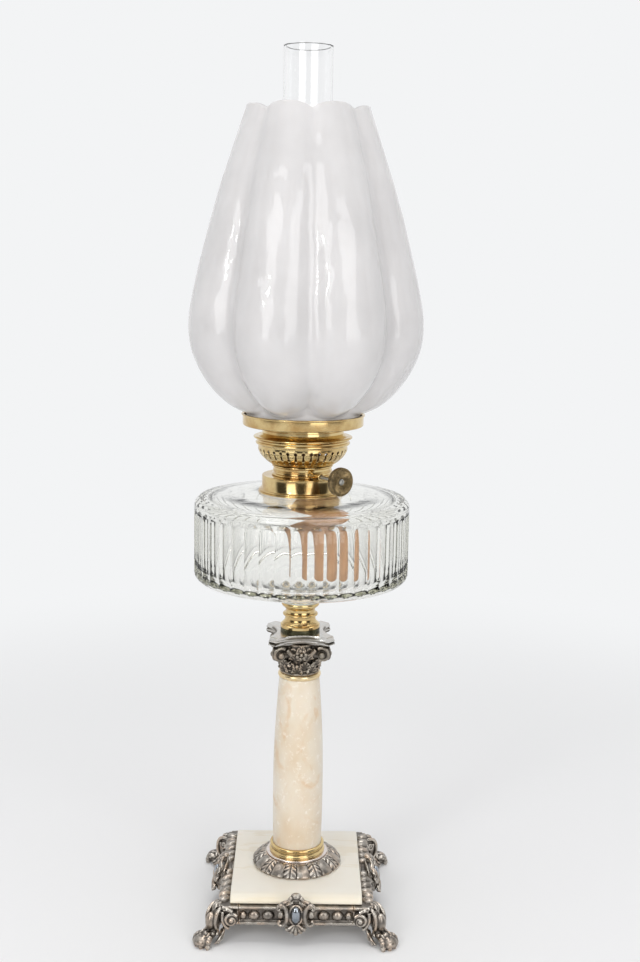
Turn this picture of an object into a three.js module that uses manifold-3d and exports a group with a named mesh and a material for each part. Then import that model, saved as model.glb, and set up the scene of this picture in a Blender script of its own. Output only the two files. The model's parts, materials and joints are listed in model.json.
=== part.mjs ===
// Kerosene table lamp on an alabaster column.
// Millimetres, +Z up. The origin is on the table, under the middle of the column.
// From the table up: four paw feet and a cast frame round a marble slab, a ring and a column,
// a capital, a glass oil font, a round wick burner, a chimney and a melon shaped shade.

import * as THREE from 'three';
import { mergeVertices } from 'three/addons/utils/BufferGeometryUtils.js';
import Module from 'manifold-3d';

const wasm = await Module();
wasm.setup();

// Clearances
const touchGap = 0.3;
const slideGap = 0.4;

// Marble slab: straight sides, a full round nose at the front and back
const slabHalfWidth = 57.3;
const slabHalfLength = 66;
const slabThickness = 20;
const noseSegments = 8;

// Cast frame: four rails that hold the slab on a ledge
const railUnderside = 17.3;
const ledgeThickness = 3;
const ledgeReach = 12;
const railThickness = 9;
const railHeight = 16.2;
const railHalfLength = 49.5;
const slabGap = 0.5;

// Beads along each rail, as distances from its middle, and the cartouche there
const beadPlaces = [22.6, 35];
const ovalBead = { halfLength: 4.6, halfHeight: 2.7, proud: 2.2 };
const roundBeadPlace = 45.6;
const roundBeadRadius = 2.5;
const cartoucheHalfWidth = 14;
const cartoucheRise = 10;
const cartoucheDrop = 10;
const cartoucheThickness = 4;
// Right half of the cartouche from its foot up, as shares of its half width and of its drop or rise:
// each row is a bend point and the point that the bend leads to
const cartoucheBends = [
  [0.55, -1, 0.62, -0.62],
  [1, -0.5, 1, 0],
  [1, 0.45, 0.58, 0.55],
  [0.4, 1, 0, 1],
];
const cabochon = { halfWidth: 4.4, halfHeight: 8.2, proud: 3.2 };
const cartoucheKnobRadius = 3.4;

// Corner legs: an S shaped leg on each diagonal with a lion's paw
const legThickness = 12;
const legBevel = 1.6;
const pawReach = 121.5;
// Side view of a leg: distances in from the toe, and heights as shares of the rail's top
const legShape = {
  head: 40, headRise: 4,
  knee: 20, kneeShare: 0.72,
  throat: 26, throatShare: 0.42,
  ankle: 14, heel: 24,
  hollow: 34, hollowShare: 0.22,
  calf: 37, calfShare: 0.5,
  shoulderShare: 0.7,
};
const pawSole = 1.2;
const pawHalfWidth = 9.5;
const pawHeight = 16;
const pawLength = 25;
const toeCount = 4;
const toeRadius = 3.8;
const toeFan = { spacing: 0.58, setBack: 0.35, long: 1.3, tall: 1.25 };
const scrollRadius = 10;
const scrollProud = 3;
const scrollSeat = 2;
const scrollPlace = 59.5;
const scrollLift = 1.5;

// Tie rod that draws the whole column together
const rodRadius = 4;
const rodClearance = 1.2;
const rodEndBelowNut = 2;
const nutAcrossCorners = 18;
const nutHeight = 6;
const washerRadius = 19;
const washerThickness = 2.5;

// Cast leaf ring, plated flange and stepped brass ring under the column
const footRing = {
  radius: 40,
  innerRadius: 18,
  topRadius: 27,
  height: 9.9,
  lip: 2,
  lobes: 20,
  lobeDepth: 1.1,
};
const flangeRadius = 27.7;
const flangeThickness = 2;
const baseRing = { radius: 25.2, stepHeight: 4.2, lipRadius: 23.7, lipHeight: 4.2, recess: 3.4 };

// Alabaster column
const columnHeight = 160.5;
const columnFootRadius = 21.9;
const columnBulgeRadius = 22.5;
const columnTopRadius = 18;
const neckRing = { radius: 18.6, innerRadius: 17.4, height: 4.3 };

// Corinthian capital and its abacus, turned a little on the column
const capitalTurn = THREE.MathUtils.degToRad(4);
const capital = { height: 30, footRadius: 16.4, topRadius: 21.5, leaves: 8, leafHeight: 13 };
const capitalLeafShape = { halfDepth: 2.6, halfWidth: 5.2, overFoot: 1.2, lift: 0.6 };
const capitalFlower = { halfDepth: 3.2, radius: 5.4, heightShare: 0.66, sunk: 0.4 };
const volute = { radius: 7.2, reach: 31, halfWidth: 4.6, stemStart: 8, stemHeight: 4, stemShare: 0.7 };
const abacus = {
  halfWidth: 31,
  chamfer: 13,
  hollow: 8.5,
  plateHeight: 4.8,
  mouldHeight: 3.4,
  mouldInset: 2.6,
};

// Brass spool between the capital and the font
const spoolWasher = { radius: 17.6, height: 3 };
const spool = {
  height: 20.5,
  footRadius: 17.8,
  waistRadius: 13.3,
  stepRadius: 14.3,
  topRadius: 16.2,
  cupRadius: 11.5,
  cupDepth: 13,
};

// Glass oil font with fluted sides
const fontRadius = 94;
const fluteCount = 44;
const fluteDepth = 1.5;
const columnsPerFlute = 2;
const fontBoss = { radius: 22.6, height: 4 };
const fontUnderslope = 22;
const fontWallHeight = 63;
const fontEdge = 4.5;
const fontShoulder = { width: 7, height: 8 };
const fontDome = 4.6;
const fontWall = 9.5;
const fontFloor = 8;
// Rounding of the hollow: how far in and down its lower and upper corners start
const fontHollow = { floorRun: 8, floorDrop: 4, wallRise: 5, ceilingDrop: 9, ceilingRun: 8, mouthRise: 3 };
const fontCeilingCover = 4.2;
const fontNeck = { outerRadius: 31.5, innerRadius: 27.5, height: 11 };
const fontPeg = { radius: 8, length: 11 };
const fontTurn = THREE.MathUtils.degToRad(3);

// Brass collar cemented over the neck of the font
const collar = {
  flangeRadius: fontNeck.outerRadius + 6.9,
  flangeHeight: 3,
  radius: fontNeck.outerRadius + 3.8,
  wall: 1.3,
  drumHeight: 12,
  plate: 2.2,
};
const collarBore = 25.2;
const cementGap = 0.3;

// Burner: threaded neck, air basket, wick tubes
const burnerTurn = THREE.MathUtils.degToRad(-54);
const neck = { threadLength: 8, bore: 24.1, beadRadius: 26.6, waistRadius: 25.3, height: 9.4, bead: 2.1 };
const basket = { wall: 1, topRadius: 38.9, height: 15, rimHeight: 4, fullness: 0.8 };
// Slots round the basket, and how far up its height they start and end
const basketSlots = { count: 36, width: 1.6, from: 0.34, to: 0.82, depth: 14 };
// Shares of the basket's height where its profile has a point
const basketRows = [0, 0.3, 0.86];
const wickThickness = 1.6;
const wickWidth = 80;
const wickRadius = 13;
const tubeWall = 0.7;
const tubeClearance = 0.5;
const tubeLength = 25.4;
const tubeTopOverSeat = 8.4;
const airPlate = { thickness: 1, holes: 10, holeRadius: 2.8, holeCorners: 6 };

// Wick: rolled round the draught tube above, flat against the winder, then an open band in the font
const wickFlat = { halfLength: 10, cornerRadius: 10, place: 4 };
const wickOpenRise = 17.6;
const wickGatherBelow = 19.6;
const wickTail = { length: 70, radius: 36, shiftAlong: 17.2, shiftAcross: 17.6 };
const wickColumns = 6;
const wickFinePerColumn = 8;

// Winder: spindle, two toothed wheels, knob
const knobStandOff = 25.1;
const spindle = { radius: 1.5, innerReach: 13, knobPlace: basket.topRadius + knobStandOff, overSeat: 3.7 };
const bushPastBasket = 1.4;
const bushLength = basket.topRadius - neck.waistRadius + bushPastBasket;
const spindleBush = { radius: 2.6, seat: 2, length: bushLength, flangeRadius: 3.3, flangeLength: 1.2 };
const wheel = { radius: 4, toothDepth: 1, teeth: 12, thickness: 1.6, place: 5 };
const knob = { radius: 12, thickness: 4.2, rim: 2, dish: 0.5, hubRadius: 4, hubLength: 4 };
const knobScrew = { radius: 2.6, height: 1.2 };
const guidePlateThickness = 1.5;
const bracket = { thickness: 2.5, halfWidth: 2.2, topMargin: 2.2 };

// Gallery: moulded skirt, crown that grips the chimney, ring that holds the shade
const skirt = {
  beadRadius: basket.topRadius + 2.1,
  beadHeight: 3.4,
  brimRadius: basket.topRadius + 3.7,
  brimRise: 7.6,
  brimEdge: 1.2,
  tubeRadius: 34.6,
  tubeFoot: 12.2,
  height: 18.8,
  wall: 1.2,
};
const skirtShelf = { innerRadius: 23, belowTop: 5 };
const shadeRing = { radius: 51.8, wall: 1.2, height: 8.8, plate: 1 };
const crown = { wall: 1.1, height: 12.8, solidHeight: 2.6, slots: 4, slotWidth: 9 };

// Glass chimney
const chimney = { baseRadius: 26.5, wall: 1.8, pinchRadius: 18.6, topRadius: 20.6, height: 321 };
// Heights where the chimney's foot starts to turn in, its shoulder, its pinch and its straight part
const chimneyBend = { start: 46, shoulder: 52, fall: 60.4, pinch: 68.8, straight: 94 };

// Melon shaped shade
const shadeLobes = 8;
const columnsPerLobe = 4;
const shadeTurn = THREE.MathUtils.degToRad(4);
const shadeWall = 3;
const shadeNeckClearance = 0.7;
const shadeNeckHeight = 8;
const shadeScallop = 5.2;
// Each row: height over the shade ring, radius of the lobes, share of it that the creases cut in
const shadeRows = [
  [11.6, 56, 0.03],
  [19, 72, 0.085],
  [38.5, 89.4, 0.105],
  [60, 100.4, 0.105],
  [81, 103.3, 0.104],
  [110, 100, 0.103],
  [144, 91.7, 0.1],
  [183, 81.2, 0.085],
  [220, 68.4, 0.06],
  [266.8, 52.9, 0.038],
];

// Facets round turned pieces
const roundFine = 26;
const roundMedium = 22;
const roundSmall = 12;
// How far a cutting shape runs past what it cuts
const cutOver = 5;
// Small edge broken on turned pieces
const edgeBreak = 0.8;

const fullTurn = Math.PI * 2;

// Materials
const brass = new THREE.MeshStandardMaterial({ color: 0xc9a24a, roughness: 0.22, metalness: 1 });
const bronze = new THREE.MeshStandardMaterial({ color: 0x5e4f38, roughness: 0.5, metalness: 1 });
const spelter = new THREE.MeshStandardMaterial({ color: 0x8a8780, roughness: 0.42, metalness: 1 });
const steel = new THREE.MeshStandardMaterial({ color: 0x9a9a98, roughness: 0.4, metalness: 1 });
const marble = new THREE.MeshStandardMaterial({ color: 0xefe9dc, roughness: 0.3, metalness: 0 });
const alabaster = new THREE.MeshStandardMaterial({ color: 0xeadcc8, roughness: 0.35, metalness: 0 });
const plaster = new THREE.MeshStandardMaterial({ color: 0xd9d2c2, roughness: 0.9, metalness: 0 });
const cotton = new THREE.MeshStandardMaterial({ color: 0xb98d64, roughness: 0.95, metalness: 0 });
const clearGlass = new THREE.MeshStandardMaterial({
  color: 0xe9f0ee, roughness: 0.04, metalness: 0, transparent: true, opacity: 0.35,
});
const satinGlass = new THREE.MeshStandardMaterial({ color: 0xe8e6e6, roughness: 0.35, metalness: 0 });

// Turns a profile of [radius, height] points about the vertical axis
function turned(profile, segments) {
  const points = profile.map(([radius, height]) => new THREE.Vector2(radius, height));
  return new THREE.LatheGeometry(points, segments).rotateX(Math.PI / 2);
}

// Turns a closed ring profile: the first point is repeated at the end
function turnedRing(profile, segments) {
  return turned([...profile, profile[0]], segments);
}

// Extrudes a shape upwards
function slabOf(shape, depth, curveSegments = 6) {
  return new THREE.ExtrudeGeometry(shape, { depth, bevelEnabled: false, curveSegments });
}

// Radius of a faceted bore whose flats clear a round piece by a gap
function boreOver(radius, gap, segments) {
  return (radius + gap) / Math.cos(Math.PI / segments);
}

// Plain box between two corners
function boxBetween(low, high) {
  const size = high.map((value, axis) => value - low[axis]);
  const middle = high.map((value, axis) => (value + low[axis]) / 2);
  return new THREE.BoxGeometry(...size).translate(...middle);
}

// A round bar along X from one place to another
function barAlongX(radius, from, to, segments = roundSmall) {
  const geometry = new THREE.CylinderGeometry(radius, radius, to - from, segments);
  return geometry.rotateZ(Math.PI / 2).translate((from + to) / 2, 0, 0);
}

// A low ellipsoid
function pebble(halfSizes, centre, segments = 6, rows = 4) {
  return new THREE.SphereGeometry(1, segments, rows).scale(...halfSizes).translate(...centre);
}

// Keeps position only, joins shared vertices, drops collapsed triangles and faces them outwards
function tidyMesh(geometry) {
  const bare = new THREE.BufferGeometry();
  bare.setAttribute('position', geometry.getAttribute('position').clone());
  if (geometry.index) {
    bare.setIndex(geometry.index.clone());
  }
  const merged = mergeVertices(bare, 1e-3);
  const position = merged.getAttribute('position');
  const triangles = [];
  const corners = [new THREE.Vector3(), new THREE.Vector3(), new THREE.Vector3()];
  let volume = 0;
  for (let start = 0; start < merged.index.count; start += 3) {
    const ids = [0, 1, 2].map((step) => merged.index.getX(start + step));
    if (new Set(ids).size === 3) {
      triangles.push(...ids);
      ids.forEach((id, corner) => corners[corner].fromBufferAttribute(position, id));
      volume += corners[0].dot(corners[1].cross(corners[2]));
    }
  }
  if (volume < 0) {
    triangles.reverse();
  }
  merged.setIndex(triangles);
  return merged;
}

// A geometry as a solid that can be cut and joined
function solid(geometry) {
  const mesh = tidyMesh(geometry);
  return new wasm.Manifold(new wasm.Mesh({
    numProp: 3,
    vertProperties: mesh.getAttribute('position').array,
    triVerts: Uint32Array.from(mesh.index.array),
  }));
}

// A solid as a geometry
function geometryOf(manifold) {
  const mesh = manifold.getMesh();
  const geometry = new THREE.BufferGeometry();
  geometry.setAttribute('position', new THREE.BufferAttribute(mesh.vertProperties, 3));
  geometry.setIndex(new THREE.BufferAttribute(mesh.triVerts, 1));
  return geometry;
}

function joined(geometries) {
  return geometries.map(solid).reduce((sum, part) => sum.add(part));
}

// Adds a named piece to a group
function addPiece(group, name, geometry, material, height = 0) {
  const mesh = new THREE.Mesh(tidyMesh(geometry), material);
  mesh.name = name;
  mesh.position.z = height;
  group.add(mesh);
  return mesh;
}

// Heights above the table, from the size of each piece below
const slabUnderside = railUnderside + ledgeThickness;
const slabTop = slabUnderside + slabThickness;
const flangeSeat = slabTop + footRing.height;
const baseRingSeat = flangeSeat + flangeThickness;
const columnSeat = baseRingSeat + baseRing.stepHeight + baseRing.lipHeight - baseRing.recess;
const neckRingSeat = columnSeat + columnHeight;
const capitalSeat = neckRingSeat + neckRing.height;
const abacusSeat = capitalSeat + capital.height;
const spoolWasherSeat = abacusSeat + abacus.mouldHeight + abacus.plateHeight;
const spoolSeat = spoolWasherSeat + spoolWasher.height;
const fontSeat = spoolSeat + spool.height;
const fontWallFoot = fontSeat + fontBoss.height + fontUnderslope;
const fontWallTop = fontWallFoot + fontWallHeight;
const collarSeat = fontWallTop + fontShoulder.height + fontDome;
const burnerSeat = collarSeat + collar.flangeHeight + collar.drumHeight;
const basketSeat = burnerSeat + neck.height;
const gallerySeat = basketSeat + basket.height;
const shelfTop = gallerySeat + skirt.height - skirtShelf.belowTop;
const ringSeat = gallerySeat + skirt.height;
const shadeSeat = ringSeat + shadeRing.plate;
const wickTop = shelfTop + tubeTopOverSeat;
const spindleHeight = burnerSeat + spindle.overSeat;
const rodBore = rodRadius + rodClearance;
const spindleOffset = -(wickFlat.place + wickThickness / 2 + touchGap + wheel.radius);
const guidePlateUnder = wheel.radius + slideGap + guidePlateThickness;

// Marble slab

function noseOutline() {
  const radius = slabThickness / 2;
  const straight = slabHalfLength - radius;
  const outline = new THREE.Shape();
  outline.absarc(straight, 0, radius, -Math.PI / 2, Math.PI / 2, false);
  outline.absarc(-straight, 0, radius, Math.PI / 2, Math.PI * 1.5, false);
  return outline;
}

function makeSlab() {
  const block = slabOf(noseOutline(), slabHalfWidth * 2, noseSegments);
  block.translate(0, 0, -slabHalfWidth).rotateX(Math.PI / 2).rotateZ(Math.PI / 2);
  const hole = new THREE.CylinderGeometry(rodBore, rodBore, slabThickness * 2, roundSmall);
  return geometryOf(solid(block).subtract(solid(hole.rotateX(Math.PI / 2))));
}

// Frame rails, modelled along X with the outer face towards -Y

function cartoucheOutline() {
  const drop = railHeight / 2 + cartoucheDrop;
  const rise = railHeight / 2 + cartoucheRise;
  const place = (across, up) => [across * cartoucheHalfWidth, up * (up < 0 ? drop : rise)];
  const ends = [[0, -1], ...cartoucheBends.map((bend) => bend.slice(2))];
  const outline = new THREE.Shape();
  outline.moveTo(...place(...ends[0]));
  cartoucheBends.forEach(([across, up], index) => {
    outline.quadraticCurveTo(...place(across, up), ...place(...ends[index + 1]));
  });
  for (let index = cartoucheBends.length - 1; index >= 0; index -= 1) {
    const [across, up] = cartoucheBends[index];
    const [endAcross, endUp] = ends[index];
    outline.quadraticCurveTo(...place(-across, up), ...place(-endAcross, endUp));
  }
  return outline;
}

function makeRail(innerFace) {
  const outerFace = innerFace + railThickness;
  const middle = railUnderside + railHeight / 2;
  const web = boxBetween(
    [-railHalfLength, -outerFace, railUnderside],
    [railHalfLength, -innerFace, railUnderside + railHeight],
  );
  const ledge = boxBetween(
    [-railHalfLength, -innerFace - railThickness / 2, railUnderside],
    [railHalfLength, -innerFace + ledgeReach, railUnderside + ledgeThickness],
  );
  const plate = slabOf(cartoucheOutline(), cartoucheThickness + railThickness / 2, 3);
  plate.rotateX(Math.PI / 2).translate(0, -innerFace - railThickness / 2, middle);
  const plateFace = outerFace + cartoucheThickness;
  const gem = [cabochon.halfWidth, cabochon.proud, cabochon.halfHeight];
  const parts = [web, ledge, plate, pebble(gem, [0, -plateFace, middle], 8, 6)];
  const knobHeight = middle + railHeight / 2 + cartoucheRise - cartoucheKnobRadius;
  parts.push(pebble(new Array(3).fill(cartoucheKnobRadius), [0, -plateFace, knobHeight]));
  const oval = [ovalBead.halfLength, ovalBead.proud, ovalBead.halfHeight];
  const round = new Array(3).fill(roundBeadRadius);
  for (const side of [-1, 1]) {
    for (const place of beadPlaces) {
      parts.push(pebble(oval, [side * place, -outerFace, middle], 5, 4));
    }
    parts.push(pebble(round, [side * roundBeadPlace, -outerFace, middle], 5, 4));
  }
  return geometryOf(joined(parts));
}

// Corner legs

// Side view of the leg in its diagonal plane: x is the distance from the lamp's axis, y the height
function legOutline() {
  const { head, headRise, knee, kneeShare, throat, throatShare, ankle, heel } = legShape;
  const { hollow, hollowShare, calf, calfShare, shoulderShare } = legShape;
  const toe = pawReach;
  const top = railUnderside + railHeight;
  const outline = new THREE.Shape();
  outline.moveTo(toe - head, top + headRise);
  outline.quadraticCurveTo(toe - knee, top + headRise, toe - knee, top * kneeShare);
  outline.quadraticCurveTo(toe - knee, top * calfShare, toe - throat, top * throatShare);
  outline.lineTo(toe - ankle, pawHeight / 2);
  outline.lineTo(toe - ankle, pawSole);
  outline.lineTo(toe - heel, pawSole);
  outline.quadraticCurveTo(toe - hollow, top * hollowShare, toe - calf, top * calfShare);
  outline.lineTo(toe - head, top * shoulderShare);
  outline.closePath();
  return outline;
}

function pawParts() {
  const middle = pawReach - pawLength / 2;
  const toePlace = pawReach - toeRadius;
  const rise = pawHeight / 2 - pawSole;
  const parts = [pebble([pawLength / 2, pawHalfWidth, pawHeight / 2], [middle, 0, rise], 7, 4)];
  const halfSizes = [toeRadius * toeFan.long, toeRadius, toeRadius * toeFan.tall];
  for (let toe = 0; toe < toeCount; toe += 1) {
    const across = (toe - (toeCount - 1) / 2) * (pawHalfWidth - toeRadius / 2) * toeFan.spacing;
    const back = Math.abs(across) * toeFan.setBack;
    parts.push(pebble(halfSizes, [toePlace - back, across, halfSizes[2] - pawSole], 5, 3));
  }
  return parts;
}

// Round scroll beside the leg, facing along Y
function scrollDisc() {
  const middle = railUnderside + railHeight / 2 + scrollLift;
  const disc = new THREE.CylinderGeometry(scrollRadius, scrollRadius, scrollProud + scrollSeat, 10);
  return disc.translate(0, 0, middle);
}

function makeLeg(sideX, sideY) {
  const innerX = slabHalfWidth + slabGap;
  const innerY = slabHalfLength + slabGap;
  const outerX = innerX + railThickness;
  const outerY = innerY + railThickness;
  const top = railUnderside + railHeight;
  const railEnd = railHalfLength + touchGap;
  const leg = new THREE.ExtrudeGeometry(legOutline(), {
    depth: legThickness - legBevel * 2,
    bevelSize: legBevel,
    bevelThickness: legBevel,
    bevelOffset: -legBevel,
    bevelSegments: 1,
    curveSegments: 2,
  });
  leg.translate(0, 0, legBevel - legThickness / 2).rotateX(Math.PI / 2);
  const corner = THREE.MathUtils.radToDeg(Math.atan2(sideY, sideX));
  const diagonal = joined([leg, ...pawParts()]).rotate([0, 0, corner]);
  const frontArm = boxBetween([railEnd, innerY, railUnderside], [outerX, outerY, top]);
  const sideArm = boxBetween([innerX, railEnd, railUnderside], [outerX, outerY, top]);
  const proud = (scrollProud - scrollSeat) / 2;
  const frontScroll = scrollDisc().translate(scrollPlace, outerY + proud, 0);
  const sideScroll = scrollDisc().rotateZ(Math.PI / 2).translate(outerX + proud, scrollPlace, 0);
  const arms = joined([frontArm, sideArm, frontScroll, sideScroll]).scale([sideX, sideY, 1]);
  const slabRoom = solid(boxBetween(
    [-innerX, -innerY, railUnderside - slabThickness],
    [innerX, innerY, slabTop + slabThickness],
  ));
  const overX = outerX + cutOver;
  const overY = outerY + cutOver;
  const railRooms = joined([
    boxBetween([-railEnd, -overY, 0], [railEnd, overY, slabTop * 2]),
    boxBetween([-overX, -railEnd, 0], [overX, railEnd, slabTop * 2]),
  ]);
  const table = solid(boxBetween([-pawReach, -pawReach, -pawHeight], [pawReach, pawReach, 0]));
  return geometryOf(diagonal.subtract(slabRoom).add(arms).subtract(railRooms).subtract(table));
}

// Tie rod and its fixings

function makeNut() {
  const radius = nutAcrossCorners / 2;
  const inner = rodRadius + touchGap;
  const outer = new THREE.CylinderGeometry(radius, radius, nutHeight, 6).rotateX(Math.PI / 2);
  const bore = new THREE.CylinderGeometry(inner, inner, nutHeight * 2, roundSmall).rotateX(Math.PI / 2);
  return geometryOf(solid(outer).subtract(solid(bore)));
}

// Plain ring, such as a washer
function flatRing(innerRadius, outerRadius, height, segments = roundMedium) {
  return turnedRing([
    [innerRadius, 0],
    [outerRadius, 0],
    [outerRadius, height],
    [innerRadius, height],
  ], segments);
}

// Cast leaf ring: a sloping convex ring with lobes pressed into it
function makeFootRing() {
  const { radius, innerRadius, topRadius, height, lip, lobes, lobeDepth } = footRing;
  const profile = [
    [innerRadius, 0],
    [radius, 0],
    [radius, lip],
    [radius - (radius - topRadius) * 0.25, height * 0.55],
    [radius - (radius - topRadius) * 0.65, height * 0.86],
    [topRadius, height],
    [innerRadius, height],
  ];
  const geometry = turnedRing(profile, lobes * 2);
  const position = geometry.getAttribute('position');
  for (let index = 0; index < position.count; index += 1) {
    const x = position.getX(index);
    const y = position.getY(index);
    const z = position.getZ(index);
    const reach = Math.hypot(x, y);
    if (reach > topRadius + touchGap && z > lip + touchGap) {
      const wave = 0.5 + 0.5 * Math.cos(Math.atan2(y, x) * lobes);
      position.setXYZ(index, x, y, z - lobeDepth * (1 - wave));
    }
  }
  return geometry;
}

function makeBaseRing() {
  const { radius, stepHeight, lipRadius, lipHeight, recess } = baseRing;
  const top = stepHeight + lipHeight;
  return turnedRing([
    [rodBore, 0],
    [radius, 0],
    [radius, stepHeight],
    [lipRadius, stepHeight],
    [lipRadius, top],
    [columnFootRadius + slideGap, top],
    [columnFootRadius + slideGap, top - recess],
    [rodBore, top - recess],
  ], roundMedium);
}

// Column with a slight swelling
function makeColumn() {
  return turnedRing([
    [rodBore, 0],
    [columnFootRadius, 0],
    [columnBulgeRadius, columnHeight * 0.3],
    [columnBulgeRadius, columnHeight * 0.5],
    [(columnBulgeRadius * 2 + columnTopRadius) / 3, columnHeight * 0.72],
    [columnTopRadius, columnHeight],
    [rodBore, columnHeight],
  ], roundFine);
}

function makeNeckRing() {
  const { radius, innerRadius, height } = neckRing;
  return turnedRing([
    [rodBore, 0],
    [innerRadius, 0],
    [radius, height * 0.25],
    [radius, height * 0.6],
    [innerRadius, height],
    [rodBore, height],
  ], roundMedium);
}

// Capital: bell, two tiers of leaves, corner volutes and a flower on each side

function capitalBell() {
  const { height, footRadius, topRadius } = capital;
  return turnedRing([
    [rodBore, 0],
    [footRadius, 0],
    [footRadius + 1, height * 0.3],
    [footRadius + 0.6, height * 0.55],
    [topRadius, height],
    [rodBore, height],
  ], 16);
}

function capitalLeaf(angle) {
  const { halfDepth, halfWidth, overFoot, lift } = capitalLeafShape;
  const halfHeight = capital.leafHeight / 2;
  const centre = [capital.footRadius + overFoot, 0, lift + halfHeight];
  return pebble([halfDepth, halfWidth, halfHeight], centre, 5, 3).rotateZ(angle);
}

function cornerVolute(angle) {
  const { radius, reach, halfWidth, stemStart, stemHeight, stemShare } = volute;
  const top = capital.height - touchGap;
  const roll = new THREE.CylinderGeometry(radius, radius, halfWidth * 2, 8);
  roll.translate(reach - radius, 0, top - radius);
  const stem = boxBetween(
    [stemStart, -halfWidth * stemShare, top - stemHeight],
    [reach - radius, halfWidth * stemShare, top],
  );
  return [roll.rotateZ(angle), stem.rotateZ(angle)];
}

function makeCapital() {
  const { leaves, height } = capital;
  const parts = [capitalBell()];
  for (let leaf = 0; leaf < leaves; leaf += 1) {
    parts.push(capitalLeaf((leaf / leaves) * fullTurn));
  }
  for (let corner = 0; corner < 4; corner += 1) {
    const diagonal = (corner + 0.5) * Math.PI / 2;
    parts.push(...cornerVolute(diagonal));
    const { halfDepth, radius, heightShare, sunk } = capitalFlower;
    const centre = [capital.topRadius - sunk, 0, height * heightShare];
    parts.push(pebble([halfDepth, radius, radius], centre, 5, 4).rotateZ(corner * Math.PI / 2));
  }
  return geometryOf(joined(parts));
}

// Square plate with hollow sides and cut corners
function abacusOutline(inset) {
  const half = abacus.halfWidth - inset;
  const flat = half - abacus.chamfer * Math.SQRT1_2;
  const outline = new THREE.Shape();
  for (let side = 0; side < 4; side += 1) {
    const turn = side * Math.PI / 2;
    const place = (x, y) => [
      x * Math.cos(turn) - y * Math.sin(turn),
      x * Math.sin(turn) + y * Math.cos(turn),
    ];
    const start = place(half, -flat);
    const control = place(half - abacus.hollow * 2, 0);
    const end = place(half, flat);
    if (side === 0) {
      outline.moveTo(...start);
    } else {
      outline.lineTo(...start);
    }
    outline.quadraticCurveTo(...control, ...end);
  }
  outline.closePath();
  const bore = new THREE.Path();
  bore.absarc(0, 0, rodBore, 0, fullTurn, true);
  outline.holes.push(bore);
  return outline;
}

function makeAbacus() {
  const mould = slabOf(abacusOutline(abacus.mouldInset), abacus.mouldHeight + 1, 4);
  const plate = slabOf(abacusOutline(0), abacus.plateHeight, 4).translate(0, 0, abacus.mouldHeight);
  return geometryOf(joined([mould, plate]));
}

function makeSpool() {
  const { height, footRadius, waistRadius, stepRadius, topRadius, cupRadius, cupDepth } = spool;
  const floor = height - cupDepth;
  return turnedRing([
    [rodRadius + touchGap, 0],
    [footRadius, 0],
    [footRadius, height * 0.12],
    [footRadius - 1.2, height * 0.22],
    [waistRadius, height * 0.5],
    [waistRadius, height * 0.64],
    [stepRadius, height * 0.7],
    [topRadius, height * 0.86],
    [topRadius, height],
    [cupRadius, height],
    [cupRadius, floor],
    [rodRadius + touchGap, floor],
  ], roundMedium);
}

// Oil font: fluted outside, smooth hollow inside, a peg below and a neck above

function fontOutside() {
  const wallFoot = fontBoss.height + fontUnderslope;
  const wallTop = wallFoot + fontWallHeight;
  const shoulderTop = wallTop + fontShoulder.height;
  const ridge = fontRadius;
  const rimRadius = ridge - fontShoulder.width;
  const profile = [
    [0, fontBoss.height],
    [fontBoss.radius, fontBoss.height],
    [ridge - fontEdge, wallFoot - fontEdge],
    [ridge, wallFoot],
    [ridge, wallTop],
    [ridge - fontShoulder.width * 0.3, wallTop + fontShoulder.height * 0.6],
    [rimRadius, shoulderTop],
    [0, shoulderTop],
  ];
  const geometry = turned(profile, fluteCount * columnsPerFlute);
  const position = geometry.getAttribute('position');
  for (let index = 0; index < position.count; index += 1) {
    const x = position.getX(index);
    const y = position.getY(index);
    const reach = Math.hypot(x, y);
    if (reach > ridge - touchGap) {
      const share = (Math.atan2(y, x) / fullTurn) * fluteCount;
      const fromRidge = Math.abs(share - Math.round(share)) * 2;
      const factor = (ridge - fluteDepth * Math.sqrt(fromRidge)) / reach;
      position.setXYZ(index, x * factor, y * factor, position.getZ(index));
    }
  }
  return geometry;
}

function fontTopAndNeck() {
  const shoulderTop = fontBoss.height + fontUnderslope + fontWallHeight + fontShoulder.height;
  const top = shoulderTop + fontDome;
  const rimRadius = fontRadius - fontShoulder.width;
  return turned([
    [0, shoulderTop - fontCeilingCover],
    [rimRadius - fontCeilingCover, shoulderTop - fontCeilingCover],
    [rimRadius - 1, shoulderTop],
    [collar.flangeRadius + fontHollow.ceilingRun, top],
    [fontNeck.outerRadius, top],
    [fontNeck.outerRadius, top + fontNeck.height],
    [0, top + fontNeck.height],
  ], roundFine);
}

function fontBossAndPeg() {
  return turned([
    [0, -fontPeg.length],
    [fontPeg.radius, -fontPeg.length],
    [fontPeg.radius, 0],
    [fontBoss.radius, 0],
    [fontBoss.radius, fontBoss.height + 1],
    [0, fontBoss.height + 1],
  ], roundMedium);
}

function fontInside() {
  const { floorRun, floorDrop, wallRise, ceilingDrop, ceilingRun, mouthRise } = fontHollow;
  const wallFoot = fontBoss.height + fontUnderslope;
  const shoulderTop = wallFoot + fontWallHeight + fontShoulder.height;
  const ceiling = shoulderTop - fontCeilingCover;
  const mouth = shoulderTop + fontDome + fontNeck.height + cutOver;
  const inner = fontRadius - fontWall;
  const floor = fontBoss.height + fontFloor;
  return turned([
    [0, floor],
    [fontBoss.radius, floor],
    [inner - floorRun, wallFoot - floorDrop],
    [inner, wallFoot + wallRise],
    [inner, ceiling - ceilingDrop],
    [inner - ceilingRun, ceiling],
    [fontNeck.innerRadius, ceiling + mouthRise],
    [fontNeck.innerRadius, mouth],
    [0, mouth],
  ], roundFine);
}

function makeFont() {
  const outside = joined([fontOutside(), fontTopAndNeck(), fontBossAndPeg()]);
  return geometryOf(outside.subtract(solid(fontInside())));
}

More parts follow.
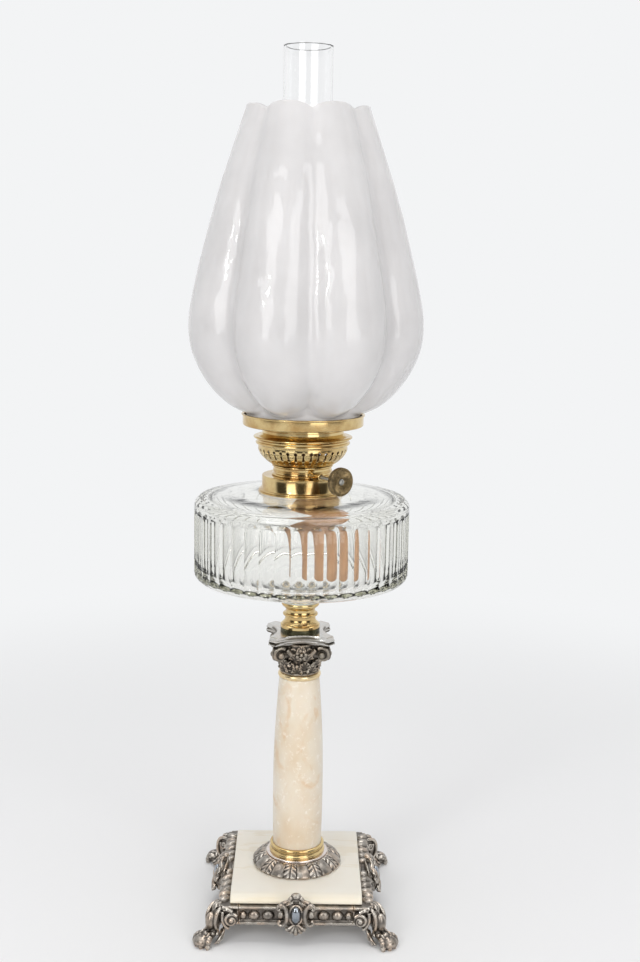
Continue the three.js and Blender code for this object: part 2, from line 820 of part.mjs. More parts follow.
function makeCollar() {
  const { flangeRadius, flangeHeight, radius, wall, drumHeight, plate } = collar;
  const top = flangeHeight + drumHeight;
  const inside = radius - wall;
  const sleeve = collarBore + wall;
  return turnedRing([
    [inside, 0],
    [flangeRadius, 0],
    [flangeRadius, flangeHeight * 0.5],
    [flangeRadius - 1.2, flangeHeight],
    [radius, flangeHeight],
    [radius, top - edgeBreak],
    [radius - edgeBreak, top],
    [collarBore, top],
    [collarBore, top - neck.threadLength],
    [sleeve, top - neck.threadLength],
    [sleeve, top - plate],
    [inside, top - plate],
  ], roundFine);
}

// Burner, in its own turned frame: X runs along the spindle towards the knob

function makeNeck() {
  const { threadLength, bore, beadRadius, waistRadius, height, bead } = neck;
  const thread = collarBore - touchGap;
  const tube = turnedRing([
    [bore, -threadLength],
    [thread, -threadLength],
    [thread, 0],
    [beadRadius, 0],
    [beadRadius, bead * 0.7],
    [waistRadius, bead],
    [waistRadius, height - bead],
    [beadRadius - 0.3, height - bead * 0.8],
    [beadRadius - 0.3, height],
    [bore, height],
  ], roundMedium);
  const hole = barAlongX(spindleBush.radius + touchGap, bore - 4, beadRadius + 4);
  hole.translate(0, spindleOffset, spindle.overSeat);
  return geometryOf(solid(tube).subtract(solid(hole)));
}

function basketRadius(share) {
  const foot = neck.beadRadius - 0.3;
  return foot + (basket.topRadius - foot) * Math.sin(share * Math.PI / 2) ** basket.fullness;
}

function makeBasket() {
  const { wall, height, rimHeight, topRadius } = basket;
  const { count, width, from, to, depth } = basketSlots;
  const outside = basketRows.map((share) => [basketRadius(share), share * height]);
  const inside = basketRows.slice(1).reverse().map((share) => [basketRadius(share) - wall, share * height]);
  const shell = turnedRing([
    ...outside,
    [topRadius, height + rimHeight],
    [topRadius - wall, height + rimHeight],
    ...inside,
    [basketRadius(0) - wall, wall * 1.6],
    [neck.bore, wall],
    [neck.bore, 0],
  ], count);
  let pierced = solid(shell);
  for (let slot = 0; slot < count; slot += 1) {
    const cut = boxBetween(
      [topRadius - depth, -width / 2, height * from],
      [topRadius + wall, width / 2, height * to],
    );
    pierced = pierced.subtract(solid(cut.rotateZ(((slot + 0.5) / count) * fullTurn)));
  }
  return geometryOf(pierced);
}

// Arc points of the wick slot, from one edge to the other round the -Y side
function slotArc(radius, halfAngle, steps) {
  return Array.from({ length: steps + 1 }, (unused, step) => {
    const angle = -Math.PI / 2 - halfAngle + (2 * halfAngle * step) / steps;
    return new THREE.Vector2(radius * Math.cos(angle), radius * Math.sin(angle));
  });
}

// Outer wick tube and draught tube, joined along the seam at +Y
function makeWickTube() {
  const room = wickThickness / 2 + tubeClearance;
  const outline = new THREE.Shape();
  outline.absarc(0, 0, wickRadius + room + tubeWall, 0, fullTurn, false);
  const bore = new THREE.Path();
  bore.absarc(0, 0, wickRadius - room - tubeWall, 0, fullTurn, true);
  const halfAngle = (wickWidth / 2 + tubeClearance) / wickRadius;
  const outerArc = slotArc(wickRadius + room, halfAngle, roundFine);
  const innerArc = slotArc(wickRadius - room, halfAngle, roundFine).reverse();
  const slot = new THREE.Path([...outerArc, ...innerArc]);
  outline.holes.push(bore, slot);
  return slabOf(outline, tubeLength, 8);
}

function makeAirPlate(outerRadius) {
  const innerRadius = wickRadius + wickThickness / 2 + tubeClearance + tubeWall + touchGap;
  const outline = new THREE.Shape();
  outline.absarc(0, 0, outerRadius, 0, fullTurn, false);
  const bore = new THREE.Path();
  bore.absarc(0, 0, innerRadius, 0, fullTurn, true);
  outline.holes.push(bore);
  const middle = (innerRadius + outerRadius) / 2;
  for (let hole = 0; hole < airPlate.holes; hole += 1) {
    const angle = (hole / airPlate.holes) * fullTurn;
    const centre = new THREE.Vector2(middle * Math.cos(angle), middle * Math.sin(angle));
    const points = Array.from({ length: airPlate.holeCorners }, (unused, corner) => {
      const around = -(corner / airPlate.holeCorners) * fullTurn;
      const across = airPlate.holeRadius * Math.cos(around);
      return new THREE.Vector2(across, airPlate.holeRadius * Math.sin(around)).add(centre);
    });
    outline.holes.push(new THREE.Path(points));
  }
  return slabOf(outline, airPlate.thickness, 10);
}

// Plate in the neck with a slot that guides the wick
function makeGuidePlate() {
  const room = wickThickness / 2 + tubeClearance;
  const outline = new THREE.Shape();
  outline.absarc(0, 0, neck.bore - touchGap, 0, fullTurn, false);
  const outer = wickCurve(spindleHeight - guidePlateUnder, room, tubeClearance);
  const inner = wickCurve(spindleHeight - guidePlateUnder, -room, tubeClearance).reverse();
  outline.holes.push(new THREE.Path([...outer, ...inner]));
  return slabOf(outline, guidePlateThickness, 8);
}

function makeBracket() {
  const { thickness, halfWidth, topMargin } = bracket;
  const inner = -spindle.innerReach;
  const block = boxBetween(
    [inner - touchGap, spindleOffset - halfWidth, guidePlateThickness - guidePlateUnder],
    [inner + thickness, spindleOffset + halfWidth, spindle.radius + topMargin],
  );
  const bore = barAlongX(spindle.radius + touchGap, inner, -inner);
  return geometryOf(solid(block).subtract(solid(bore.translate(0, spindleOffset, 0))));
}

function makeBush() {
  const { radius, seat, length, flangeRadius, flangeLength } = spindleBush;
  const bore = spindle.radius + touchGap;
  const start = neck.waistRadius;
  const profile = [
    [bore, start - seat],
    [radius, start - seat],
    [radius, start + seat],
    [flangeRadius, start + seat],
    [flangeRadius, start + seat + flangeLength],
    [radius, start + seat + flangeLength],
    [radius, start + length],
    [bore, start + length],
  ];
  return turnedRing(profile, roundSmall).rotateY(Math.PI / 2);
}

function makeSpindle() {
  return barAlongX(spindle.radius, -spindle.innerReach + touchGap, spindle.knobPlace + knob.thickness / 2);
}

function makeWheel() {
  const outline = new THREE.Shape();
  const steps = wheel.teeth * 2;
  const points = Array.from({ length: steps }, (unused, step) => {
    const radius = step % 2 === 0 ? wheel.radius : wheel.radius - wheel.toothDepth;
    const angle = (step / steps) * fullTurn;
    return new THREE.Vector2(radius * Math.cos(angle), radius * Math.sin(angle));
  });
  outline.setFromPoints(points);
  const bore = new THREE.Path();
  bore.absarc(0, 0, spindle.radius + touchGap / 2, 0, fullTurn, true);
  outline.holes.push(bore);
  return slabOf(outline, wheel.thickness, 4).translate(0, 0, -wheel.thickness / 2).rotateY(Math.PI / 2);
}

function makeKnob() {
  const { radius, thickness, rim, dish, hubRadius, hubLength } = knob;
  const start = spindle.knobPlace;
  const bore = spindle.radius + touchGap / 2;
  return turnedRing([
    [bore, start - hubLength],
    [hubRadius, start - hubLength],
    [hubRadius, start],
    [radius - edgeBreak, start],
    [radius, start + edgeBreak],
    [radius, start + thickness - edgeBreak],
    [radius - edgeBreak, start + thickness],
    [radius - rim, start + thickness],
    [radius - rim - dish, start + thickness - dish],
    [bore, start + thickness - dish],
  ], roundMedium).rotateY(Math.PI / 2);
}

function makeKnobScrew() {
  const start = spindle.knobPlace + knob.thickness - knob.dish;
  return turned([
    [0, start],
    [knobScrew.radius, start],
    [knobScrew.radius * 0.75, start + knobScrew.height],
    [0, start + knobScrew.height],
  ], roundSmall).rotateY(Math.PI / 2);
}

// Wick: one band with the same width at every level

function smooth(share) {
  const clamped = Math.min(Math.max(share, 0), 1);
  return clamped * clamped * (3 - 2 * clamped);
}

// How the wick lies at a height: how far it has opened, how far it has spread, where its middle is
function wickLie(height) {
  const opened = smooth((spindleHeight + wickOpenRise - height) / wickOpenRise);
  const fallen = (burnerSeat - wickGatherBelow - height) / wickTail.length;
  const spread = smooth(fallen * 0.5) * 2;
  const place = -wickRadius + (wickRadius - wickFlat.place) * opened;
  const middle = new THREE.Vector2(
    wickTail.shiftAlong * spread,
    place + (wickTail.shiftAcross + wickFlat.place) * spread,
  );
  return { opened, spread, middle };
}

// Bend of the wick at a distance from its middle
function wickBend(lie, distance) {
  const flatBend = distance < wickFlat.halfLength ? 0 : 1 / wickFlat.cornerRadius;
  const above = (1 - lie.opened) / wickRadius + lie.opened * flatBend;
  return (1 - lie.spread) * above + lie.spread / wickTail.radius;
}

// Points across the wick at a height, edge to edge, at a distance outside its middle surface
function wickCurve(height, outside, extra = 0) {
  const lie = wickLie(height);
  const half = wickWidth / 2 + extra;
  const fine = half / (wickColumns * wickFinePerColumn);
  const right = [];
  let heading = 0;
  let x = 0;
  let y = 0;
  for (let step = 0; step <= wickColumns * wickFinePerColumn; step += 1) {
    if (step % wickFinePerColumn === 0) {
      right.push([x + outside * Math.sin(heading), y - outside * Math.cos(heading)]);
    }
    const turn = wickBend(lie, (step + 0.5) * fine) * fine;
    x += Math.cos(heading + turn / 2) * fine;
    y += Math.sin(heading + turn / 2) * fine;
    heading += turn;
  }
  const left = right.slice(1).reverse().map(([across, along]) => [-across, along]);
  return [...left, ...right].map(([across, along]) => new THREE.Vector2(across, along).add(lie.middle));
}

function wickHeights() {
  const gather = burnerSeat - wickGatherBelow;
  const opening = [1, 0.66, 0.33, 0].map((share) => spindleHeight + share * wickOpenRise);
  const tail = [0, 0.15, 0.3, 0.45, 0.6, 0.8, 1].map((share) => gather - share * wickTail.length);
  return [wickTop, ...opening, ...tail];
}

function makeWick() {
  const positions = [];
  const triangles = [];
  const across = wickColumns * 2;
  const loop = (across + 1) * 2;
  const heights = wickHeights();
  for (const height of heights) {
    const outer = wickCurve(height, wickThickness / 2);
    const inner = wickCurve(height, -wickThickness / 2).reverse();
    for (const point of [...outer, ...inner]) {
      positions.push(point.x, point.y, height);
    }
  }
  for (let level = 0; level < heights.length - 1; level += 1) {
    for (let place = 0; place < loop; place += 1) {
      const next = (place + 1) % loop;
      const upper = level * loop;
      const lower = upper + loop;
      triangles.push(upper + place, lower + place, upper + next, upper + next, lower + place, lower + next);
    }
  }
  for (const [start, flip] of [[0, false], [(heights.length - 1) * loop, true]]) {
    for (let place = 0; place < across; place += 1) {
      const a = start + place;
      const b = start + place + 1;
      const c = start + loop - 1 - place;
      const d = start + loop - 2 - place;
      triangles.push(...(flip ? [a, c, b, b, c, d] : [a, b, c, b, d, c]));
    }
  }
  const geometry = new THREE.BufferGeometry();
  geometry.setAttribute('position', new THREE.Float32BufferAttribute(positions, 3));
  geometry.setIndex(triangles);
  return geometry;
}

// Gallery

function makeSkirt() {
  const { beadRadius, beadHeight, brimRadius, brimRise, brimEdge } = skirt;
  const { tubeRadius, tubeFoot, height, wall } = skirt;
  const shelf = height - skirtShelf.belowTop;
  const inside = boreOver(basket.topRadius, slideGap, roundMedium);
  const seat = basket.rimHeight + touchGap;
  return turnedRing([
    [inside, touchGap],
    [beadRadius, touchGap],
    [beadRadius, beadHeight],
    [brimRadius, brimRise],
    [brimRadius, brimRise + brimEdge],
    [tubeRadius, tubeFoot],
    [tubeRadius, height],
    [tubeRadius - wall, height],
    [tubeRadius - wall, shelf],
    [skirtShelf.innerRadius, shelf],
    [skirtShelf.innerRadius, shelf - wall],
    [tubeRadius - wall, shelf - wall],
    [tubeRadius - wall, tubeFoot - wall],
    [basket.topRadius - wall * 1.5, seat + wall],
    [basket.topRadius - wall * 1.5, seat],
    [inside, seat],
  ], roundMedium);
}

function makeShadeRing() {
  const { radius, wall, height, plate } = shadeRing;
  return turnedRing([
    [skirt.tubeRadius - skirt.wall, 0],
    [radius - 1, 0],
    [radius, 1],
    [radius, height - 0.6],
    [radius - 0.4, height],
    [radius - wall, height],
    [radius - wall, plate],
    [skirt.tubeRadius - skirt.wall, plate],
  ], roundFine);
}

// Split crown of spring fingers round the foot of the chimney
function makeCrown() {
  const { wall, height, solidHeight, slots, slotWidth } = crown;
  const inner = boreOver(chimney.baseRadius, slideGap, roundFine);
  const ring = solid(flatRing(inner, inner + wall, height, roundFine));
  const half = slotWidth / 2;
  const cuts = Array.from({ length: slots }, (unused, slot) => {
    const bar = boxBetween([-inner * 2, -half, solidHeight], [inner * 2, half, height * 2]);
    return solid(bar.rotateZ((slot / slots) * Math.PI));
  });
  return geometryOf(cuts.reduce((rest, cut) => rest.subtract(cut), ring));
}

function makeChimney() {
  const { baseRadius, wall, pinchRadius, topRadius, height } = chimney;
  const outside = [
    [baseRadius, 0],
    [baseRadius, chimneyBend.start],
    [baseRadius - wall, chimneyBend.shoulder],
    [pinchRadius + wall / 2, chimneyBend.fall],
    [pinchRadius, chimneyBend.pinch],
    [topRadius, chimneyBend.straight],
    [topRadius, height],
  ];
  const inside = [...outside].reverse().map(([radius, level]) => [radius - wall, level]);
  return turnedRing([...outside, ...inside], roundMedium);
}

// Shade: turned rows, then each row is pressed in at the creases

function makeShade() {
  const neckRadius = shadeRing.radius - shadeRing.wall - shadeNeckClearance;
  const rows = [[0, neckRadius, 0], [shadeNeckHeight, neckRadius, 0], ...shadeRows];
  const rim = shadeRows[shadeRows.length - 1][0];
  const depthAt = new Map(rows.map(([height, , depth]) => [height, depth]));
  const outside = rows.map(([height, radius]) => [radius, height]);
  const inside = [...rows].reverse().map(([height, radius]) => [radius - shadeWall, height]);
  const geometry = turnedRing([...outside, ...inside], shadeLobes * columnsPerLobe);
  const position = geometry.getAttribute('position');
  for (let index = 0; index < position.count; index += 1) {
    const x = position.getX(index);
    const y = position.getY(index);
    const z = position.getZ(index);
    const level = [...depthAt.keys()].reduce((best, height) => (
      Math.abs(height - z) < Math.abs(best - z) ? height : best
    ));
    const share = (Math.atan2(y, x) / fullTurn) * shadeLobes;
    const toMiddle = Math.abs(share - Math.floor(share) - 0.5) * 2;
    const press = toMiddle ** 2;
    const factor = 1 - depthAt.get(level) * press;
    const drop = level === rim ? shadeScallop * press : 0;
    position.setXYZ(index, x * factor, y * factor, z - drop);
  }
  return geometry;
}

// Assembly

function addStand(lamp) {
  for (const [front, sideY] of [['front', -1], ['back', 1]]) {
    for (const [side, sideX] of [['left', -1], ['right', 1]]) {
      addPiece(lamp, `foot_${front}_${side}`, makeLeg(sideX, sideY), spelter);
    }
  }
  ['front', 'right', 'back', 'left'].forEach((place, quarter) => {
    const reach = quarter % 2 === 0 ? slabHalfLength : slabHalfWidth;
    const rail = addPiece(lamp, `rail_${place}`, makeRail(reach + slabGap), spelter);
    rail.rotation.z = quarter * Math.PI / 2;
  });
  addPiece(lamp, 'plinth_slab', makeSlab(), marble, slabUnderside + slabThickness / 2);
  const washer = flatRing(rodBore, washerRadius, washerThickness);
  addPiece(lamp, 'rod_washer', washer, steel, slabUnderside - washerThickness);
  addPiece(lamp, 'rod_nut', makeNut(), steel, slabUnderside - washerThickness - nutHeight / 2);
}

function addColumn(lamp) {
  const rodFoot = slabUnderside - washerThickness - nutHeight - rodEndBelowNut;
  const rodTop = fontSeat - spool.cupDepth - touchGap;
  const rod = new THREE.CylinderGeometry(rodRadius, rodRadius, rodTop - rodFoot, roundSmall);
  addPiece(lamp, 'tie_rod', rod.rotateX(Math.PI / 2), steel, (rodFoot + rodTop) / 2);
  addPiece(lamp, 'foot_ring', makeFootRing(), spelter, slabTop);
  addPiece(lamp, 'base_flange', flatRing(rodBore, flangeRadius, flangeThickness), spelter, flangeSeat);
  addPiece(lamp, 'base_ring', makeBaseRing(), brass, baseRingSeat);
  addPiece(lamp, 'column', makeColumn(), alabaster, columnSeat);
  addPiece(lamp, 'neck_ring', makeNeckRing(), brass, neckRingSeat);
  addPiece(lamp, 'capital', makeCapital(), spelter, capitalSeat).rotation.z = capitalTurn;
  addPiece(lamp, 'abacus', makeAbacus(), spelter, abacusSeat).rotation.z = capitalTurn;
  const underSpool = flatRing(rodBore, spoolWasher.radius, spoolWasher.height);
  addPiece(lamp, 'spool_washer', underSpool, steel, spoolWasherSeat);
  addPiece(lamp, 'font_spool', makeSpool(), brass, spoolSeat);
}

function addFont(lamp) {
  const pegCement = flatRing(fontPeg.radius + cementGap, spool.cupRadius - cementGap, fontPeg.length - 1);
  addPiece(lamp, 'peg_cement', pegCement, plaster, fontSeat - fontPeg.length);
  addPiece(lamp, 'font', makeFont(), clearGlass, fontSeat).rotation.z = fontTurn;
  const inside = collar.radius - collar.wall;
  const overNeck = boreOver(fontNeck.outerRadius, cementGap, roundMedium);
  const neckCement = flatRing(overNeck, inside - cementGap, fontNeck.height - 1);
  addPiece(lamp, 'collar_cement', neckCement, plaster, collarSeat + cementGap);
  addPiece(lamp, 'font_collar', makeCollar(), brass, collarSeat);
}

function addBurner(lamp) {
  const burner = new THREE.Group();
  burner.rotation.z = burnerTurn;
  lamp.add(burner);
  addPiece(burner, 'burner_neck', makeNeck(), brass, burnerSeat);
  addPiece(burner, 'air_basket', makeBasket(), brass, basketSeat);
  addPiece(burner, 'wick_tube', makeWickTube(), brass, wickTop - tubeLength);
  const plateOuter = basket.topRadius - basket.wall - touchGap;
  addPiece(burner, 'air_plate', makeAirPlate(plateOuter), brass, basketSeat + basket.height);
  addPiece(burner, 'wick_guide', makeGuidePlate(), brass, spindleHeight - guidePlateUnder);
  addPiece(burner, 'spindle_bracket', makeBracket(), brass, spindleHeight);
  const winder = new THREE.Group();
  winder.position.set(0, spindleOffset, spindleHeight);
  burner.add(winder);
  addPiece(winder, 'spindle_bush', makeBush(), brass);
  addPiece(winder, 'winder_spindle', makeSpindle(), steel);
  addPiece(winder, 'winder_wheel_inner', makeWheel(), brass).position.x = -wheel.place;
  addPiece(winder, 'winder_wheel_outer', makeWheel(), brass).position.x = wheel.place;
  addPiece(winder, 'winder_knob', makeKnob(), bronze);
  addPiece(winder, 'knob_screw', makeKnobScrew(), steel);
  addPiece(burner, 'wick', makeWick(), cotton);
}

function addGlass(lamp) {
  addPiece(lamp, 'gallery_skirt', makeSkirt(), brass, gallerySeat);
  addPiece(lamp, 'chimney_crown', makeCrown(), brass, shelfTop);
  addPiece(lamp, 'shade_ring', makeShadeRing(), brass, ringSeat);
  addPiece(lamp, 'chimney', makeChimney(), clearGlass, shelfTop);
  addPiece(lamp, 'shade', makeShade(), satinGlass, shadeSeat).rotation.z = shadeTurn;
}

const lamp = new THREE.Group();
addStand(lamp);
addColumn(lamp);
addFont(lamp);
addBurner(lamp);
addGlass(lamp);

export default lamp;
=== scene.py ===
import json
import math

import bmesh
import bpy
from mathutils import Matrix, Vector

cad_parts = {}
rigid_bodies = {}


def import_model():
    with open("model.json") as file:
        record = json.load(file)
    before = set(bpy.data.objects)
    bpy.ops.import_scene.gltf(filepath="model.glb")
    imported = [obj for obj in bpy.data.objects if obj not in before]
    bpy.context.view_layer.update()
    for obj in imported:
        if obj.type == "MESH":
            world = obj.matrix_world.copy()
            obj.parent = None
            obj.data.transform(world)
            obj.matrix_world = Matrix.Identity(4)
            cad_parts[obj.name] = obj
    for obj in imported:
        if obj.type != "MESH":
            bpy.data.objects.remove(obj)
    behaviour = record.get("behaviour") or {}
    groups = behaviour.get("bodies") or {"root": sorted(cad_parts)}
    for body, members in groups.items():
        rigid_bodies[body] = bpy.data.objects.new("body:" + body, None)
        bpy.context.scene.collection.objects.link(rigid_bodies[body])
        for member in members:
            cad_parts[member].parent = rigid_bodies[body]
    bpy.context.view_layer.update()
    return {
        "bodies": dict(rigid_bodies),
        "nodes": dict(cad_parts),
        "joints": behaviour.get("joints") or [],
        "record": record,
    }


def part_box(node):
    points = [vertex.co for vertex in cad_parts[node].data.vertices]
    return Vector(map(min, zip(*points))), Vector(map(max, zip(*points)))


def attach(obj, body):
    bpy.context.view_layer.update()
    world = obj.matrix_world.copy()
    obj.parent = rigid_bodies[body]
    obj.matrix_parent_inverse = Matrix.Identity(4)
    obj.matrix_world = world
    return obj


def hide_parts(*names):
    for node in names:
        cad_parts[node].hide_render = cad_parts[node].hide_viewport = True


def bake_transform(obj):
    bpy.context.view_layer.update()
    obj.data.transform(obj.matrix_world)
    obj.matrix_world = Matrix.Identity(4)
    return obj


bl_info = {
    "name": "Kerosene table lamp",
    "version": (1, 0, 0),
    "blender": (4, 5, 0),
    "location": "3D View > Sidebar > Lamp",
    "description": "Builds the finished pieces of a kerosene table lamp on its packed frame",
    "category": "Object",
}

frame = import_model()

MM = 0.001
FULL = 2 * math.pi
SHARP = math.radians(38)
SAME = 1e-7  # Points closer than this, in metres, are one point.

# How far pieces are turned about the lamp's axis, in degrees.
CAPITAL_TURN, FONT_TURN, BASKET_TURN, WICK_TURN, SHADE_TURN = 4, 3, -49, -54, 4

# The cast frame, in millimetres: half sizes of the slab that its rails stand against, their foot,
# top and depth.
SLAB_X, SLAB_Y = 57.8, 66.5
RAIL_FOOT, RAIL_TOP, RAIL_DEEP = 17.3, 33.5, 9
# Height, half thickness and setback of the mouldings that run along the rails.
RAIL_MOULDINGS = ((RAIL_TOP - 1.1, 1.1, 0.8), (RAIL_FOOT + 1.3, 1.3, 0.4),
                  (RAIL_TOP - 2.9, 0.55, 1.4), (RAIL_FOOT + 3.4, 0.55, 1.4))


def span(node):
    """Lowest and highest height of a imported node, in millimetres."""
    low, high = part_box(node)
    return low[2] / MM, high[2] / MM


# Colours and nodes


def linear(code):
    """An sRGB hex colour as linear RGBA."""
    parts = [int(code[place:place + 2], 16) / 255 for place in (1, 3, 5)]
    parts = [c / 12.92 if c <= 0.04045 else ((c + 0.055) / 1.055) ** 2.4 for c in parts]
    return (*parts, 1.0)


def add(tree, kind, out=0, sockets=None, **settings):
    """Adds a shader node with its settings and socket values or links, and returns an output.

    A Mix node's sockets 0, 6 and 7 are the share and two colours, and its output 2 is the colour.
    A MapRange's sockets 0 to 4 are the value, the range it comes from and the range it goes to.
    """
    made = tree.nodes.new("ShaderNode" + kind)
    for key, value in settings.items():
        if key != "stops":
            setattr(made, key, value)
            continue
        points = made.color_ramp.elements
        while len(points) < len(value):
            points.new(0.5)
        for point, (place, colour) in zip(points, value):
            point.position, point.color = place, linear(colour)
    for key, value in (sockets or {}).items():
        if isinstance(value, bpy.types.NodeSocket):
            tree.links.new(value, made.inputs[key])
        else:
            made.inputs[key].default_value = value
    return made if out is None else made.outputs[out]


def finished(material, tree, surface, volume=None):
    """Joins what was made to the material's output, and returns the material."""
    sockets = {"Surface": surface, "Volume": volume} if volume else {"Surface": surface}
    add(tree, "OutputMaterial", None, sockets)
    return material


def new_material(name):
    """A new node material, its tree, and the place of a point on its piece."""
    material = bpy.data.materials.new(name)
    material.use_nodes = True
    tree = material.node_tree
    tree.nodes.clear()
    return material, tree, add(tree, "TexCoord", "Object")


# Materials


def marble_material():
    """Honed cream marble: plain and soft, with a few long faint veins; the rounded front is
    drawn darker and yellower."""
    material, tree, place = new_material("honed_cream_marble")
    cloud = add(tree, "TexNoise", "Fac", {"Vector": place, "Scale": 1000 / 55, "Detail": 3.0})
    stone = add(tree, "ValToRGB", 0, {"Fac": cloud}, stops=[(0.35, "#EDE6DA"), (0.65, "#F1ECE2")])
    # Veins run about 60 mm along the slab and lie about 20 mm apart.
    drawn = add(tree, "Mapping", 0, {
        "Vector": place, "Rotation": (0.3, 0.2, 0.5), "Scale": (0.35, 1, 1)})
    field = add(tree, "TexNoise", "Fac", {
        "Vector": drawn, "Scale": 1000 / 42, "Detail": 4.0, "Distortion": 0.5})
    off = add(tree, "Math", 0, {
        0: add(tree, "Math", 0, {0: field, 1: 0.5}, operation="SUBTRACT")}, operation="ABSOLUTE")
    vein = add(tree, "MapRange", 0, {0: off, 1: 0.0, 2: 0.03, 3: 0.3, 4: 0.0},
               interpolation_type="SMOOTHSTEP")
    veined = add(tree, "Mix", 2, {0: vein, 6: stone, 7: linear("#DCCBAA")}, data_type="RGBA")
    # The nose at the front, towards -Y, is mixed towards a darker yellow cream.
    front = add(tree, "SeparateXYZ", 1, {0: place})
    near = add(tree, "MapRange", 0, {0: front, 1: -0.058, 2: -0.067, 3: 0.0, 4: 0.4})
    colour = add(tree, "Mix", 2, {0: near, 6: veined, 7: linear("#E5D7B6")}, data_type="RGBA")
    shader = add(tree, "BsdfPrincipled", 0, {
        "Base Color": colour, "Roughness": 0.28, "IOR": 1.5, "Subsurface Weight": 0.15,
        "Subsurface Radius": (1.0, 0.85, 0.7), "Subsurface Scale": 0.004})
    return finished(material, tree, shader)


def alabaster_material():
    """Turned and waxed alabaster: cream stone that light enters, with soft amber clouds and pale
    flecks."""
    material, tree, place = new_material("waxed_alabaster")
    tall = add(tree, "Mapping", 0, {"Vector": place, "Scale": (1, 1, 0.6)})
    cloud = add(tree, "TexNoise", "Fac", {"Vector": tall, "Scale": 1000 / 34, "Detail": 4.0})
    stone = add(tree, "ValToRGB", 0, {"Fac": cloud}, stops=[
        (0.32, "#DCC9AE"), (0.5, "#E4D7C3"), (0.68, "#EBE2D3")])
    amber = add(tree, "TexNoise", "Fac", {
        "Vector": tall, "Scale": 1000 / 21, "Detail": 5.0, "Roughness": 0.6, "Distortion": 0.9})
    share = add(tree, "MapRange", 0, {0: amber, 1: 0.53, 2: 0.7, 3: 0.0, 4: 0.6},
                interpolation_type="SMOOTHSTEP")
    clouded = add(tree, "Mix", 2, {0: share, 6: stone, 7: linear("#D9B78C")}, data_type="RGBA")
    fleck = add(tree, "TexNoise", "Fac", {
        "Vector": place, "Scale": 1000 / 5, "Detail": 4.0, "Roughness": 0.65})
    pale = add(tree, "MapRange", 0, {0: fleck, 1: 0.56, 2: 0.72, 3: 0.0, 4: 0.6})
    colour = add(tree, "Mix", 2, {0: pale, 6: clouded, 7: linear("#FBF6EE")}, data_type="RGBA")
    shader = add(tree, "BsdfPrincipled", 0, {
        "Base Color": colour, "Roughness": 0.32, "IOR": 1.52, "Subsurface Weight": 0.3,
        "Subsurface Radius": (1.0, 0.75, 0.55), "Subsurface Scale": 0.005,
        "Coat Weight": 0.2, "Coat Roughness": 0.12})
    return finished(material, tree, shader)


def turned_metal(name, low, high, rough, worn_mm=9.0):
    """Lathe-turned metal: handling has dulled it in soft patches, and fine turning lines run round
    it."""
    material, tree, place = new_material(name)
    patch = add(tree, "TexNoise", "Fac", {
        "Vector": place, "Scale": 1000 / worn_mm, "Detail": 4.0, "Roughness": 0.6})
    colour = add(tree, "ValToRGB", 0, {"Fac": patch}, stops=[(0.34, low), (0.56, high)])
    shine = add(tree, "MapRange", 0, {0: patch, 1: 0.3, 2: 0.65, 3: rough * 1.5, 4: rough * 0.8})
    # Turning lines are 0.05 mm apart on the real lamp and are drawn at 0.3 mm so that they show.
    flat = add(tree, "Mapping", 0, {"Vector": place, "Scale": (0.02, 0.02, 1.0)})
    lines = add(tree, "TexNoise", "Fac", {"Vector": flat, "Scale": 1000 / 0.3, "Detail": 2.0})
    ridge = add(tree, "Bump", 0, {"Height": lines, "Distance": 0.00001, "Strength": 0.3})
    shader = add(tree, "BsdfPrincipled", 0, {
        "Base Color": colour, "Metallic": 1.0, "Roughness": shine, "Normal": ridge})
    return finished(material, tree, shader)


def cast_metal(name, body, rubbed_and_highlight_colour, dirt_and_shade_colour, rough, copper=0.5):
    """Sand-cast zinc, silvered: raised parts brighter, partly rubbed silver, partly a painted
    highlight; copper on some ridges; hollows darker, partly dirt, partly painted shade."""
    material, tree, place = new_material(name)
    patch = add(tree, "TexNoise", "Fac", {
        "Vector": place, "Scale": 1000 / 8, "Detail": 4.0, "Roughness": 0.6})
    grain = add(tree, "TexNoise", "Fac", {
        "Vector": place, "Scale": 1000 / 0.8, "Detail": 3.0, "Roughness": 0.6})
    # The hollow attribute holds how far a point lies under its surroundings, in millimetres.
    hollow = add(tree, "Attribute", "Fac", attribute_name="hollow")
    uneven = add(tree, "Math", 0, {0: patch, 1: -0.4, 2: hollow}, operation="MULTIPLY_ADD")
    depth = add(tree, "Math", 0, {0: uneven, 1: 0.2}, operation="ADD")
    # Raised parts get the bright colour: partly rubbed silver, partly a painted highlight.
    raised = add(tree, "MapRange", 0, {0: depth, 1: 0.0, 2: -0.2, 3: 0.0, 4: 1.0})
    # Hollows get the dark colour: partly dirt, partly painted shade where light would be blocked.
    dirt_and_shade = add(tree, "MapRange", 0, {0: depth, 1: 0.0, 2: 0.38, 3: 0.0, 4: 1.0})
    warm = add(tree, "TexNoise", "Fac", {"Vector": place, "Scale": 1000 / 13, "Detail": 3.0})
    rubbed = add(tree, "MapRange", 0, {0: warm, 1: 0.47, 2: 0.58, 3: 0.0, 4: copper})
    shown = add(tree, "Math", 0, {0: rubbed, 1: raised}, operation="MULTIPLY")
    skin = add(tree, "Mix", 2, {0: raised, 6: linear(body), 7: linear(rubbed_and_highlight_colour)}, data_type="RGBA")
    coppered = add(tree, "Mix", 2, {0: shown, 6: skin, 7: linear("#CDAE92")}, data_type="RGBA")
    colour = add(tree, "Mix", 2, {0: dirt_and_shade, 6: coppered, 7: linear(dirt_and_shade_colour)}, data_type="RGBA")
    shine = add(tree, "MapRange", 0, {0: depth, 1: -0.2, 2: 0.3, 3: rough, 4: rough + 0.25})
    pits = add(tree, "Bump", 0, {"Height": grain, "Distance": 0.00005, "Strength": 0.6})
    shader = add(tree, "BsdfPrincipled", 0, {
        "Base Color": colour, "Metallic": 1.0, "Roughness": shine, "Normal": pits})
    return finished(material, tree, shader)


